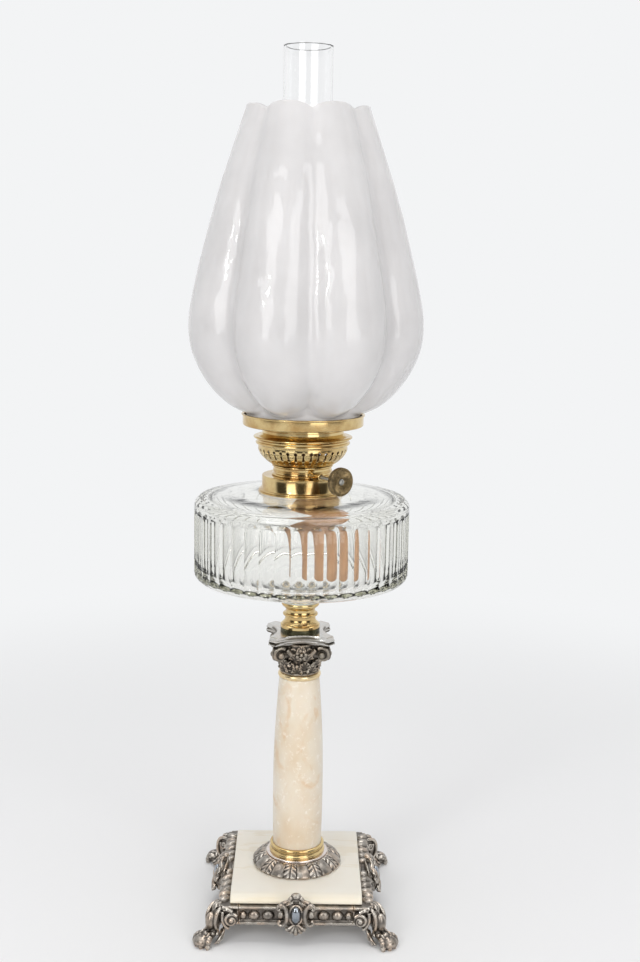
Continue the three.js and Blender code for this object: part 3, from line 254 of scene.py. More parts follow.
def steel_material():
    """Drawn steel: grey, with a faint mottle of old oil."""
    material, tree, place = new_material("drawn_steel")
    mottle = add(tree, "TexNoise", "Fac", {"Vector": place, "Scale": 1000 / 3, "Detail": 3.0})
    colour = add(tree, "ValToRGB", 0, {"Fac": mottle}, stops=[(0.3, "#8F8E8A"), (0.8, "#C8C6C0")])
    shader = add(tree, "BsdfPrincipled", 0, {
        "Base Color": colour, "Metallic": 1.0, "Roughness": 0.38})
    return finished(material, tree, shader)


def soda_glass(name, tint, ripple_mm, depth_mm, depth_tint=None, density=0.0):
    """Soda glass: clear, slightly uneven from its mould or blowing, and olive where it is looked
    through deeply."""
    material, tree, place = new_material(name)
    swell = add(tree, "TexNoise", "Fac", {
        "Vector": place, "Scale": 1000 / ripple_mm, "Detail": 2.0})
    wave = add(tree, "Bump", 0, {"Height": swell, "Distance": depth_mm * MM, "Strength": 0.5})
    shader = add(tree, "BsdfPrincipled", 0, {
        "Base Color": linear(tint), "Roughness": 0.0, "IOR": 1.5, "Transmission Weight": 1.0,
        "Normal": wave})
    # Light passes straight through to what stands behind the glass.
    lit = add(tree, "MixShader", 0, {
        0: add(tree, "LightPath", "Is Shadow Ray"), 1: shader,
        2: add(tree, "BsdfTransparent", 0, {"Color": linear("#F4F5F2")})})
    depth = add(tree, "VolumeAbsorption", 0, {
        "Color": linear(depth_tint), "Density": density}) if depth_tint else None
    return finished(material, tree, lit, depth)


def satin_glass_material():
    """Opal glass with a satin skin: milky, light passes softly into it, and its blown surface
    ripples the shine."""
    material, tree, place = new_material("satin_opal_glass")
    cloud = add(tree, "TexNoise", "Fac", {"Vector": place, "Scale": 1000 / 40, "Detail": 3.0})
    milk = add(tree, "ValToRGB", 0, {"Fac": cloud}, stops=[(0.3, "#CFCDCD"), (0.7, "#D7D5D5")])
    tall = add(tree, "Mapping", 0, {"Vector": place, "Scale": (1, 1, 0.6)})
    swell = add(tree, "TexNoise", "Fac", {"Vector": tall, "Scale": 1000 / 13, "Detail": 0.5})
    wave = add(tree, "Bump", 0, {"Height": swell, "Distance": 0.0018, "Strength": 1.0})
    shader = add(tree, "BsdfPrincipled", 0, {
        "Base Color": milk, "Roughness": 0.5, "IOR": 1.5, "Subsurface Weight": 0.3,
        "Subsurface Radius": (1.0, 0.95, 0.9), "Subsurface Scale": 0.003,
        "Coat Weight": 1.0, "Coat Roughness": 0.04, "Coat IOR": 1.5, "Coat Normal": wave})
    return finished(material, tree, shader)


def cotton_material():
    """Woven cotton wick, browned by oil: a plain weave with threads drawn at 0.9 mm so that they
    show."""
    material, tree, place = new_material("woven_cotton_wick")
    uv = add(tree, "UVMap", 0, uv_map="weave")
    warp, weft = (add(tree, "Math", 0, {
        0: add(tree, "Math", 0, {
            0: add(tree, "SeparateXYZ", axis, {0: uv}), 1: FULL / 0.9}, operation="MULTIPLY")},
        operation="SINE") for axis in (0, 1))
    weave = add(tree, "Math", 0, {0: warp, 1: weft}, operation="MULTIPLY")
    stain = add(tree, "TexNoise", "Fac", {
        "Vector": place, "Scale": 1000 / 14, "Detail": 4.0, "Roughness": 0.6})
    tone = add(tree, "ValToRGB", 0, {"Fac": stain}, stops=[
        (0.3, "#B98B62"), (0.55, "#C89B70"), (0.75, "#D6AC84")])
    thread = add(tree, "ValToRGB", 0, {"Fac": weave}, stops=[(0.0, "#C6A684"), (1.0, "#FFFFFF")])
    colour = add(tree, "Mix", 2, {0: 0.4, 6: tone, 7: thread}, data_type="RGBA",
                 blend_type="MULTIPLY")
    nap = add(tree, "Bump", 0, {"Height": weave, "Distance": 0.0002, "Strength": 0.8})
    shader = add(tree, "BsdfPrincipled", 0, {
        "Base Color": colour, "Roughness": 0.9, "Sheen Weight": 0.2, "Normal": nap})
    return finished(material, tree, shader)


def plaster_material():
    """Plaster of Paris: matt, off-white, slightly pitted."""
    material, tree, place = new_material("plaster_of_paris")
    pits = add(tree, "TexNoise", "Fac", {
        "Vector": place, "Scale": 1000 / 1.5, "Detail": 5.0, "Roughness": 0.7})
    colour = add(tree, "ValToRGB", 0, {"Fac": pits}, stops=[(0.3, "#B9AF9C"), (0.6, "#DDD6C8")])
    rough = add(tree, "Bump", 0, {"Height": pits, "Distance": 0.0002})
    shader = add(tree, "BsdfPrincipled", 0, {
        "Base Color": colour, "Roughness": 0.92, "Normal": rough})
    return finished(material, tree, shader)


MATERIALS = {}


def material_for(name):
    """The material of a finish, made the first time it is asked for."""
    makers = {
        "marble": marble_material,
        "alabaster": alabaster_material,
        "brass": lambda: turned_metal("lacquered_brass", "#BE9C66", "#D8C08C", 0.13, 24.0),
        "satin_brass": lambda: turned_metal("satin_brass", "#D9BE8C", "#EBD6AC", 0.32),
        "dark_brass": lambda: turned_metal("oxidised_brass_washer", "#3C3B2C", "#5C5A45", 0.3),
        "inner_brass": lambda: turned_metal("sooted_brass", "#3A3020", "#6B5836", 0.5),
        "bronze": lambda: turned_metal("aged_bronze_knob", "#5A4E3A", "#8A7756", 0.34, 2.5),
        # After the body colour come the colour of raised parts, partly a painted highlight, and the
        # colour of hollows, partly painted shade.
        "spelter": lambda: cast_metal("silvered_cast_zinc", "#746E68", "#CBC4BA", "#302A23", 0.25),
        "capital": lambda: cast_metal(
            "aged_cast_zinc_capital", "#645E57", "#ADA598", "#26211C", 0.3, 0.3),
        "abacus": lambda: cast_metal(
            "silvered_abacus", "#AAA6A0", "#D2D0CC", "#6A645A", 0.22, 0.15),
        "boss": lambda: turned_metal("burnished_steel_boss", "#7F868E", "#A3A9B1", 0.15),
        "plated": lambda: turned_metal("nickel_plated_flange", "#D8CCC4", "#E6DCD6", 0.2),
        "steel": steel_material,
        "pressed_glass": lambda: soda_glass(
            "pressed_soda_glass", "#FDFDFC", 20, 0.15, "#C4C290", 6.0),
        "clear_glass": lambda: soda_glass("blown_soda_glass", "#FFFFFF", 30, 0.05),
        "satin_glass": satin_glass_material,
        "cotton": cotton_material,
        "plaster": plaster_material,
    }
    if name not in MATERIALS:
        MATERIALS[name] = makers[name]()
    return MATERIALS[name]


# Shaping


def in_scene(name, data):
    """A new object that is linked to the scene."""
    made = bpy.data.objects.new(name, data)
    bpy.context.scene.collection.objects.link(made)
    return made


def flatten(bm, low, high=math.inf):
    """Presses what stands past two heights in millimetres back to them."""
    for vert in bm.verts:
        vert.co.z = min(max(vert.co.z, low * MM), high * MM)


def modified(mesh, *modifiers):
    """A new mesh: the given one after modifiers, each given as its kind and settings."""
    holder = in_scene("casting", mesh)
    for kind, settings in modifiers:
        made = holder.modifiers.new(kind, kind)
        for key, value in settings.items():
            setattr(made, key, value)
    view = bpy.context.evaluated_depsgraph_get()
    result = bpy.data.meshes.new_from_object(holder.evaluated_get(view))
    bpy.data.objects.remove(holder)
    return result


def turn_round(bm, degrees):
    """Turns a shape about the lamp's axis."""
    bmesh.ops.rotate(bm, verts=bm.verts, cent=(0, 0, 0),
                     matrix=Matrix.Rotation(math.radians(degrees), 3, "Z"))


def pull_in(vert, factor):
    """Moves a vertex towards the lamp's axis, or away from it."""
    vert.co.x *= factor
    vert.co.y *= factor


def moulding(*steps, cuts=7):
    """A profile in (radius, height) millimetres. A third number bows the run to that point
    outwards."""
    points = []
    for step in steps:
        if len(step) == 2:
            points.append(tuple(step))
            continue
        (r0, z0), (r1, z1, bow) = points[-1], step
        chord = math.hypot(r1 - r0, z1 - z0)
        along = ((r1 - r0) / chord, (z1 - z0) / chord)
        side = math.copysign(1, bow)
        out = (along[1] * side, -along[0] * side)
        depth = abs(bow)
        radius = (chord * chord / 4 + depth * depth) / (2 * depth)
        half = math.asin(min(1, chord / 2 / radius))
        if depth > chord / 2:
            half = math.pi - half
        middle = ((r0 + r1) / 2, (z0 + z1) / 2)
        for cut in range(1, cuts + 1):
            turn = half * (2 * cut / cuts - 1)
            run, rise = radius * math.sin(turn), radius * math.cos(turn) + depth - radius
            points.append((middle[0] + along[0] * run + out[0] * rise,
                           middle[1] + along[1] * run + out[1] * rise))
    return points


def flowing(points, cuts=6):
    """A smooth run through points."""
    padded = [points[0], *points, points[-1]]
    run = []
    for place in range(1, len(padded) - 2):
        a, b, c, d = (Vector(p) for p in padded[place - 1:place + 3])
        for cut in range(cuts):
            t = cut / cuts
            run.append(tuple(0.5 * (2 * b + (c - a) * t + (2 * a - 5 * b + 4 * c - d) * t * t
                                    + (3 * b - a - 3 * c + d) * t ** 3)))
    return [*run, tuple(points[-1])]


def turned(profile, steps=128, closed=True):
    """A bmesh spun from a profile in millimetres about the lamp's axis."""
    bm = bmesh.new()
    corners = [bm.verts.new((radius * MM, 0, height * MM)) for radius, height in profile]
    loop = corners + corners[:1] if closed else corners
    edges = [bm.edges.new(pair) for pair in zip(loop, loop[1:])]
    bmesh.ops.spin(bm, geom=corners + edges, cent=(0, 0, 0), axis=(0, 0, 1), dvec=(0, 0, 0),
                   angle=FULL, steps=steps, use_merge=True)
    bmesh.ops.remove_doubles(bm, verts=bm.verts, dist=SAME)
    bmesh.ops.dissolve_degenerate(bm, dist=SAME, edges=bm.edges)
    return bm


def rod(bm, points, radii, round_steps=3):
    """A round bar through points in millimetres, whose radius follows radii."""
    line = bpy.data.curves.new("rod", "CURVE")
    line.dimensions = "3D"
    line.bevel_depth = MM
    line.bevel_resolution = round_steps
    line.use_fill_caps = True
    spline = line.splines.new("POLY")
    spline.points.add(len(points) - 1)
    for point, place, radius in zip(spline.points, points, radii):
        point.co = (*(c * MM for c in place), 1)
        point.radius = radius
    holder = in_scene("rod", line)
    shape = bpy.data.meshes.new_from_object(holder)
    bm.from_mesh(shape)
    bpy.data.objects.remove(holder)
    bpy.data.curves.remove(line)
    bpy.data.meshes.remove(shape)


def ball(bm, centre, halves, turn=None, cuts=16):
    """An ellipsoid in millimetres. turn is a matrix that turns it in place."""
    place = Matrix.Translation(Vector(centre) * MM) @ (turn or Matrix()).to_4x4()
    place = place @ Matrix.Diagonal((*(h * MM for h in halves), 1))
    bmesh.ops.create_uvsphere(bm, u_segments=cuts, v_segments=max(6, cuts // 2), radius=1,
                              matrix=place)


def block(bm, low, high):
    """A box between two corners in millimetres."""
    size = [(b - a) * MM for a, b in zip(low, high)]
    middle = [(a + b) / 2 * MM for a, b in zip(low, high)]
    place = Matrix.Translation(middle) @ Matrix.Diagonal((*size, 1))
    bmesh.ops.create_cube(bm, size=1, matrix=place)


def fused(bm, voxel_mm, smooth=1):
    """Joins overlapping shapes into one cast skin."""
    mesh = bpy.data.meshes.new("casting")
    bmesh.ops.recalc_face_normals(bm, faces=bm.faces)
    bm.to_mesh(mesh)
    skin = modified(mesh, ("REMESH", {"mode": "VOXEL", "voxel_size": voxel_mm * MM}),
                    ("SMOOTH", {"iterations": smooth, "factor": 0.5}))
    bm.clear()
    bm.from_mesh(skin)
    bpy.data.meshes.remove(mesh)
    bpy.data.meshes.remove(skin)


def mark_hollows(mesh):
    """Stores how far each point of a casting lies under its smoothed surroundings, in
    millimetres."""
    smooth = modified(mesh, ("SMOOTH", {"iterations": 24, "factor": 0.5}))
    depth = [(after.co - point.co).dot(point.normal) / MM
             for point, after in zip(mesh.vertices, smooth.vertices)]
    mesh.attributes.new("hollow", "FLOAT", "POINT").data.foreach_set("value", depth)
    bpy.data.meshes.remove(smooth)


def place_piece(bm, name, finish, body, nodes, slot, angle=SHARP, outward=True):
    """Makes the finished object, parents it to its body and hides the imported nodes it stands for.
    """
    if outward:
        bmesh.ops.recalc_face_normals(bm, faces=bm.faces)
    mesh = bpy.data.meshes.new(name)
    bm.to_mesh(mesh)
    bm.free()
    if slot == "cast_metal":
        mark_hollows(mesh)
    mesh.materials.append(material_for(finish))
    mesh.shade_smooth()
    mesh.set_sharp_from_angle(angle=angle)
    piece = in_scene(name, mesh)
    if body:
        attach(piece, body)
    if nodes:
        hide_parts(*nodes)
    return piece


# Sizes that a user would change


class LampSizes(bpy.types.PropertyGroup):
    """Sizes and colours of the finished lamp."""

    shade_lobes: bpy.props.IntProperty(
        name="Shade lobes", description="Melon lobes round the shade", default=8, min=4, max=16)
    shade_scallop: bpy.props.FloatProperty(
        name="Rim scallop", description="How far the rim drops between two lobes",
        default=0.0052, min=0, unit="LENGTH")
    font_flutes: bpy.props.IntProperty(
        name="Font flutes", description="Upright flutes round the oil font", default=44, min=8,
        max=80)
    flute_depth: bpy.props.FloatProperty(
        name="Flute depth", description="How deep a flute is pressed into the glass",
        default=0.0019, min=0, unit="LENGTH")
    basket_slots: bpy.props.IntProperty(
        name="Basket slots", description="Keyhole slots round the air basket", default=36, min=8,
        max=60)
    floor_colour: bpy.props.FloatVectorProperty(
        name="Floor colour", description="Colour of the studio floor", subtype="COLOR", size=4,
        default=linear("#F1F1F2"))


def sizes():
    return bpy.context.scene.lamp_sizes


# Stone


def make_slab():
    low, high = span("plinth_slab")
    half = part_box("plinth_slab")[1]
    # The nose stands over the front and back rails, and rounds over into the top.
    nose = moulding((65.4, low), (66, low + 0.6), (66, high - 6.6), (69.4, high - 6.5),
                    (70.4, high - 5.8, 0.2), (69.0, high - 3.6, 0.35), (65.5, high - 1.7, 0.3),
                    (60.0, high - 0.5, 0.25), (50.0, high, 0.1))
    bm = bmesh.new()
    run = [(-y, z) for y, z in nose[::-1]] + nose
    corners = [bm.verts.new((-half.x, y * MM, z * MM)) for y, z in run]
    face = bm.faces.new(corners)
    end = bmesh.ops.extrude_face_region(bm, geom=[face], use_keep_orig=True)["geom"]
    moved = [item for item in end if isinstance(item, bmesh.types.BMVert)]
    bmesh.ops.translate(bm, verts=moved, vec=(2 * half.x, 0, 0))
    ends = [e for e in bm.edges if sum(1 for f in e.link_faces if abs(f.normal.x) > 0.9) == 1]
    bmesh.ops.bevel(bm, geom=ends, offset=0.8 * MM, offset_type="OFFSET", segments=3, profile=0.5,
                    affect="EDGES", material=-1)
    place_piece(bm, "marble_slab", "marble", "stand", ["plinth_slab"], "marble")


def make_column():
    low, high = span("column")
    tall = high - low
    outside = flowing([(21.9, low), (22.3, low + tall * 0.15), (22.5, low + tall * 0.32),
                       (22.4, low + tall * 0.5), (21.2, low + tall * 0.7),
                       (19.6, low + tall * 0.86), (18.0, high - 0.5)], 8)
    place_piece(turned([(5.2, low), *outside, (17.4, high), (5.2, high)], 144), "alabaster_column",
                "alabaster", "stand", ["column"], "alabaster")


# Turned metal of the stand


FONT_LIFT = 3.0  # The spool reaches this far, in millimetres, into the hollow under the font.


def make_stand_rings():
    low, high = span("base_flange")
    place_piece(turned(moulding((5.2, low), (26.9, low), (26.9, high, 0.9), (5.2, high))),
                "plated_flange", "plated", "stand", ["base_flange"], "cast_metal")
    low, high = span("base_ring")
    place_piece(turned(moulding(
        (5.2, low), (24.6, low), (24.9, low + 2.4, 0.5), (24.1, low + 2.8), (23.9, low + 4.0, -0.2),
        (23.9, high - 3.0), (24.3, high - 2.6), (23.8, high - 0.3, 0.6), (23.3, high),
        (22.3, high), (22.3, high - 3.4), (5.2, high - 3.4))), "stepped_base_ring", "brass",
        "stand", ["base_ring"], "brass")
    low, high = span("neck_ring")
    place_piece(turned(moulding(
        (5.2, low), (18.0, low), (18.5, high - 0.4, 0.9), (17.4, high), (5.2, high))),
        "satin_neck_ring", "satin_brass", "stand", ["neck_ring"], "brass")
    low, high = span("spool_washer")
    place_piece(turned(moulding(
        (5.2, low), (17.2, low), (17.3, high - 0.3, 0.2), (16.9, high), (5.2, high))),
        "dark_spool_washer", "dark_brass", "stand", ["spool_washer"], "steel")
    low, high = span("font_spool")
    top = high + FONT_LIFT
    place_piece(turned(moulding(
        (4.3, low), (17.2, low), (17.5, low + 0.3), (17.5, low + 2.6), (17.0, low + 3.0),
        (16.3, low + 3.4), (16.0, low + 4.2, -0.3), (13.6, low + 9.6, -0.8), (13.6, low + 10.4),
        (14.8, low + 10.8), (14.8, low + 13.0, 0.8), (13.5, low + 13.4), (13.6, low + 17.6, -0.5),
        (14.9, low + 18.6), (16.2, low + 19.8, -0.2), (16.4, top - 0.6, 0.5), (15.9, top),
        (11.5, top), (11.5, high - 13), (4.3, high - 13))), "turned_font_spool", "brass",
        "stand", ["font_spool"], "brass")


# Oil font


def press_flutes(bm, ridge, low, high):
    """Presses arched flutes into the wall between two heights."""
    flutes, depth = sizes().font_flutes, sizes().flute_depth / MM
    arch = math.pi * ridge / flutes
    middle, straight = (low + high) / 2, (high - low) / 2 - arch
    for vert in bm.verts:
        reach = vert.co.xy.length / MM
        height = vert.co.z / MM
        if reach < ridge - 2.5 or not low - 1 < height < high + 1:
            continue
        share = math.atan2(vert.co.y, vert.co.x) / FULL * flutes
        across = (share - math.floor(share) - 0.5) * 2
        beyond = max(0.0, abs(height - middle) - straight) / arch
        press = 1 - across * across - beyond * beyond
        if press > 0:
            pull_in(vert, 1 - depth * press / reach)


def make_font():
    low, high = span("font")
    seat = low + 11
    wall_foot, wall_top, rim, ridge = seat + 26, seat + 89, seat + 97, 93.9
    # The rows of the wall lie closer where the arches of the flutes are.
    rows = [wall_foot + 4 + (wall_top - wall_foot - 4) * t for t in (
        0.0, 0.02, 0.04, 0.06, 0.08, 0.1, 0.13, 0.2, 0.35, 0.5, 0.65, 0.8, 0.87, 0.9, 0.92, 0.94,
        0.96, 0.98, 1.0)]
    outside = [
        *moulding((0, low), (7.4, low), (8, low + 0.6, 0.2), (8, seat + FONT_LIFT),
                  (17.6, seat + FONT_LIFT), (18.6, seat + FONT_LIFT + 0.9, 0.3), (23.4, seat + 6.6),
                  (58, seat + 16.6, 0.6), (85.6, wall_foot - 2.0, 0.5),
                  (ridge, wall_foot + 3.6, 1.7), cuts=9),
        *[(ridge, height) for height in rows],
        *moulding((ridge, wall_top + 0.2), (91.4, wall_top + 5.6, 0.9), (87.4, rim, 0.7),
                  (85.6, rim + 0.4), (60, rim + 3.2), (44.4, rim + 4.6), (31.5, rim + 4.6),
                  (31.5, high - 0.8), (30.7, high, 0.3), (28.2, high), (27.5, high - 0.7, 0.3)),
    ]
    inside = flowing([(27.5, rim + 1.5), (30, rim - 0.9), (50, rim - 2.2), (74, rim - 4.2),
                      (81.5, rim - 7), (84.4, rim - 13)], 4)
    inside += [(84.5, wall_foot + 45), (84.5, wall_foot + 25)]
    inside += flowing([(84.4, wall_foot + 9.5), (81.4, wall_foot + 4.0), (75.5, wall_foot + 0.4),
                       (55, seat + 20.6), (22.6, seat + 13.4), (0, seat + 12)], 4)
    columns = 12  # Columns of faces to a flute.
    bm = turned([*outside, *inside], sizes().font_flutes * columns, closed=False)
    press_flutes(bm, ridge, wall_foot + 2.6, wall_top - 0.2)
    turn_round(bm, FONT_TURN)
    place_piece(bm, "fluted_glass_font", "pressed_glass", "stand", ["font"], "clear_glass",
                angle=math.radians(30))


def make_collar():
    low, high = span("font_collar")
    place_piece(turned(moulding(
        (34.0, low), (38.0, low), (38.1, low + 1.2, 0.4), (37.4, low + 1.5), (37.6, low + 2.6, 0.4),
        (36.6, low + 3.0), (35.7, low + 3.4, -0.3), (35.2, low + 4.2), (35.2, high - 1.0),
        (34.2, high, 0.35), (25.3, high), (25.3, high - 8), (26.5, high - 8), (26.5, high - 2.2),
        (34.0, high - 2.2)), 144), "cemented_font_collar", "brass", "stand", ["font_collar"],
        "brass")


# Burner


def make_burner_neck():
    low, high = span("burner_neck")
    seat = high - 9.4
    bm = turned(moulding(
        (24.1, low), (24.9, low), (24.9, seat), (26.2, seat), (26.2, seat + 1.6, 0.6),
        (25.4, seat + 2.1), (25.3, seat + 3.4), (25.6, seat + 4.4, 0.3), (25.3, seat + 5.4, 0.3),
        (25.3, high - 2.2), (26.0, high - 1.8), (26.3, high - 0.2, 0.5), (25.8, high),
        (24.1, high)), 144)
    place_piece(bm, "burner_neck_collar", "brass", "burner", ["burner_neck"], "brass")


def basket_radius(height):
    """Radius of the basket's outside at a height over the neck, in millimetres."""
    neck, swell, tall = 26.3, 12.6, 15
    return neck + swell * math.sin(min(height / tall, 1.0) * math.pi / 2) ** 0.8


def keyhole(height):
    """Half width of the hole at a height over the neck, or nothing where the wall is whole."""
    for middle, radius in ((3.9, 1.0), (13.1, 1.5), (7.4, 1.1)):
        if abs(height - middle) < radius * 0.99:
            return math.sqrt(radius ** 2 - (height - middle) ** 2)
    return 0.75 if 7.4 < height < 13.1 else None


def make_basket():
    low, high = span("air_basket")
    slots = sizes().basket_slots
    heights = [0, 0.9, 1.8, 2.5, 2.91, 3.1, 3.4, 3.65, 3.9, 4.15, 4.4, 4.7, 4.89, 5.6, 6.32,
               6.55, 6.85, 7.1, 7.4, 7.65, 7.9, 8.6, 9.4, 10.3, 11.1, 11.62, 11.9, 12.3, 12.7,
               13.1, 13.5, 13.9, 14.3, 14.58]
    profile = [(basket_radius(h), low + h) for h in heights]
    profile += [(38.8, low + 15.6), (38.8, low + 17.2), (38.9, high)]
    columns = 12
    bm = turned(profile, slots * columns, closed=False)
    for vert in bm.verts:
        column = round(math.atan2(vert.co.y, vert.co.x) / FULL * slots * columns)
        place = (column + columns // 2) % columns - columns // 2
        reach = vert.co.xy.length
        half = (keyhole(vert.co.z / MM - low) or 0.75) * MM / reach
        pitch = FULL / slots
        near = abs(place)
        # Two columns of faces fill half a hole, and four the web beside it.
        shift = half * near / 2 if near <= 2 else half + (pitch / 2 - half) * (near - 2) / 4
        angle = (column - place) / columns * pitch + math.copysign(shift, place)
        vert.co.x, vert.co.y = reach * math.cos(angle), reach * math.sin(angle)
    doomed = []
    for face in bm.faces:
        middle = face.calc_center_median()
        share = math.atan2(middle.y, middle.x) / FULL * slots
        off = abs(share - round(share)) * FULL / slots * middle.xy.length / MM
        half = keyhole(middle.z / MM - low)
        if half and off < half * 0.99:
            doomed.append(face)
    bmesh.ops.delete(bm, geom=doomed, context="FACES")
    # The wall is built inwards, so the faces have to look away from the lamp's axis.
    bmesh.ops.recalc_face_normals(bm, faces=bm.faces)
    some = next(iter(bm.faces))
    if some.normal.xy.dot(some.calc_center_median().xy) < 0:
        bmesh.ops.reverse_faces(bm, faces=bm.faces)
    turn_round(bm, BASKET_TURN)
    piece = place_piece(bm, "pierced_air_basket", "brass", "burner", ["air_basket"], "brass",
                        outward=False)
    wall = piece.modifiers.new("sheet", "SOLIDIFY")
    wall.thickness = 0.8 * MM
    wall.offset = -1


# Winder, turned about its own spindle


def spindle_frame():
    """Matrix that lays a piece turned about Z along the spindle."""
    joint = next(j for j in frame["record"]["behaviour"]["joints"] if j["name"] == "wick_winder")
    out = Vector(joint["axis"]).normalized()
    up = Vector((0, 0, 1))
    turn = Matrix((up, out.cross(up), out)).transposed()
    return Matrix.Translation(joint["pos_m"]) @ turn.to_4x4()


def on_spindle(bm, name, finish, body, node, slot, angle=SHARP):
    bmesh.ops.transform(bm, matrix=spindle_frame(), verts=bm.verts)
    place_piece(bm, name, finish, body, [node], slot, angle)


def make_winder():
    on_spindle(turned(moulding(
        (1.8, 23.3), (2.6, 23.3), (2.6, 27.3), (3.2, 27.3), (3.2, 28.5, 0.2), (2.6, 28.5),
        (2.6, 38.6), (2.9, 39.0), (2.9, 40.0, 0.3), (2.4, 40.3), (1.8, 40.3)), 40),
        "spindle_sleeve", "brass", "burner", "spindle_bush", "brass")
    on_spindle(turned([(0, -12.7), (1.5, -12.7), (1.5, 66.1), (0, 66.1)], 32, closed=False),
               "winder_rod", "steel", "winder", "winder_spindle", "steel")
    teeth = 120
    bm = turned(moulding(
        (1.65, 60), (3.4, 60), (4.0, 60.6, 0.2), (4.0, 63.6), (4.6, 64.0, -0.15), (11.2, 64.0),
        (12.0, 64.9, 0.25), (12.0, 67.3), (11.3, 68.2, 0.25), (10.4, 68.2, 0.1), (9.9, 67.7),
        (8.0, 67.5), (6.0, 67.4), (4.4, 67.5), (3.9, 67.9), (3.3, 67.9, 0.1), (2.9, 67.7),
        (1.65, 67.7)), teeth)
    for vert in bm.verts:
        reach, height = vert.co.xy.length / MM, vert.co.z / MM
        odd = round(math.atan2(vert.co.y, vert.co.x) / FULL * teeth) % 2
        if reach > 11.5 and 64.5 < height < 67.8:
            pull_in(vert, 1 - odd * 0.35 / reach)
        elif 5 < reach < 9.6 and height > 67:
            vert.co.z -= 0.3 * MM * odd
    on_spindle(bm, "milled_winder_knob", "bronze", "winder", "winder_knob", "bronze",
               angle=math.radians(24))
    bm = turned(moulding((0, 67.7), (2.6, 67.7), (2.6, 68.1), (0, 69.1, 0.35)), 40, closed=False)
    on_spindle(bm, "knob_centre_screw", "steel", "winder", "knob_screw", "steel")


# Wick


WICK_HALF = 40  # Half of the flat wick's width, in millimetres, in steps of one millimetre.
WICK_TUBE = 13  # Radius of the tube that it closes to.
WICK_CLOSES = 17.6  # It closes over this height above the winder.


def wick_outline(height, seat, spin_height):
    """Edge to edge points of the wick at a height, in the burner's frame, in millimetres."""
    def smooth(share):
        share = min(max(share, 0), 1)
        return share * share * (3 - 2 * share)

    # Under the tube the cloth opens, under the collar it spreads flat, lower down its edges curl,
    # and its tail lies to one side of the font.
    opened = smooth((spin_height + WICK_CLOSES - height) / WICK_CLOSES)
    spread = smooth((seat - 12 - height) / 22)
    curl = smooth((seat - 34 - height) / 34)
    shift = smooth((seat - 14 - height) / 60)
    middle = Vector((32 * shift, -WICK_TUBE + 9 * opened - 2.1 * shift))
    run, heading, x, y = [], 0.0, 0.0, 0.0
    for step in range(WICK_HALF + 1):
        run.append((x, y))
        # Turn for each millimetre along the cloth: in the tube, opened, spread and curled.
        bend = 0 if step < 10 else 0.1
        above = (1 - opened) / WICK_TUBE + opened * bend
        turn = (1 - spread) * above + spread * (1 - curl) / 30 + spread * curl / 18
        x += math.cos(heading + turn / 2)
        y += math.sin(heading + turn / 2)
        heading += turn
    whole = [(-a, b) for a, b in run[:0:-1]] + run
    return [Vector(point) + middle for point in whole]


def make_wick():
    low, high = span("wick")
    seat = span("font_collar")[1]
    rows, columns = 90, 2 * WICK_HALF
    spin_height = seat + 3.7
    bm = bmesh.new()
    bmesh.ops.create_grid(bm, x_segments=columns, y_segments=rows, size=0.5)
    layer = bm.loops.layers.uv.new("weave")
    turn = Matrix.Rotation(math.radians(WICK_TURN), 2)
    lines = {}
    for vert in bm.verts:
        column = round((vert.co.x + 0.5) * columns)
        row = round((vert.co.y + 0.5) * rows)
        if row not in lines:
            lines[row] = wick_outline(low + (high - low) * row / rows, seat, spin_height)
        place = turn @ lines[row][column]
        for loop in vert.link_loops:
            loop[layer].uv = (column, row * (high - low) / rows)
        vert.co = (place.x * MM, place.y * MM, (low + (high - low) * row / rows) * MM)
    piece = place_piece(bm, "round_wick", "cotton", None, ["wick"], "cotton", outward=False)
    cloth = piece.modifiers.new("cloth", "SOLIDIFY")
    cloth.thickness = 1.5 * MM
    cloth.offset = 0
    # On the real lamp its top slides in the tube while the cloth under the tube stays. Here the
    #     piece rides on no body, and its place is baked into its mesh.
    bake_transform(piece)


# Glass shade and chimney


def between(table, place):
    """Value of a table of (place, value) rows at a place."""
    for (a, low), (b, high) in zip(table, table[1:]):
        if place <= b:
            return low + (high - low) * max(0.0, (place - a) / (b - a))
    return table[-1][1]


def inset_run(points, wall):
    """The same run, moved sideways by the thickness of the wall, towards its left."""
    moved = []
    for place, point in enumerate(points):
        before = points[max(place - 1, 0)]
        after = points[min(place + 1, len(points) - 1)]
        run, rise = after[0] - before[0], after[1] - before[1]
        size = math.hypot(run, rise)
        moved.append((point[0] - rise / size * wall, point[1] + run / size * wall))
    return moved


# How deep the crease between two lobes is, as a share of the radius, at heights over the foot in
# millimetres.
CREASE = [(0, 0.0), (10.4, 0.0), (13, 0.03), (16.4, 0.085), (21, 0.115), (38, 0.13), (81, 0.122),
          (144, 0.115), (183, 0.098), (220, 0.072), (267, 0.042)]


def lobe_press(across):
    """Share of the crease's depth at a place across a lobe: round lobes that meet in a soft
    groove."""
    # The groove begins at soft, bulge is how round a lobe is, and whole is the press in the crease.
    soft, bulge, whole = 0.82, 0.88, 0.463
    reach = min(across, soft)
    press = 1 - math.sqrt(1 - bulge * reach * reach)
    if across > soft:
        slope = bulge * soft / math.sqrt(1 - bulge * soft * soft)
        over = (across - soft) / (1 - soft)
        press += slope * (1 - soft) * (over - over * over / 2)
    return press / whole


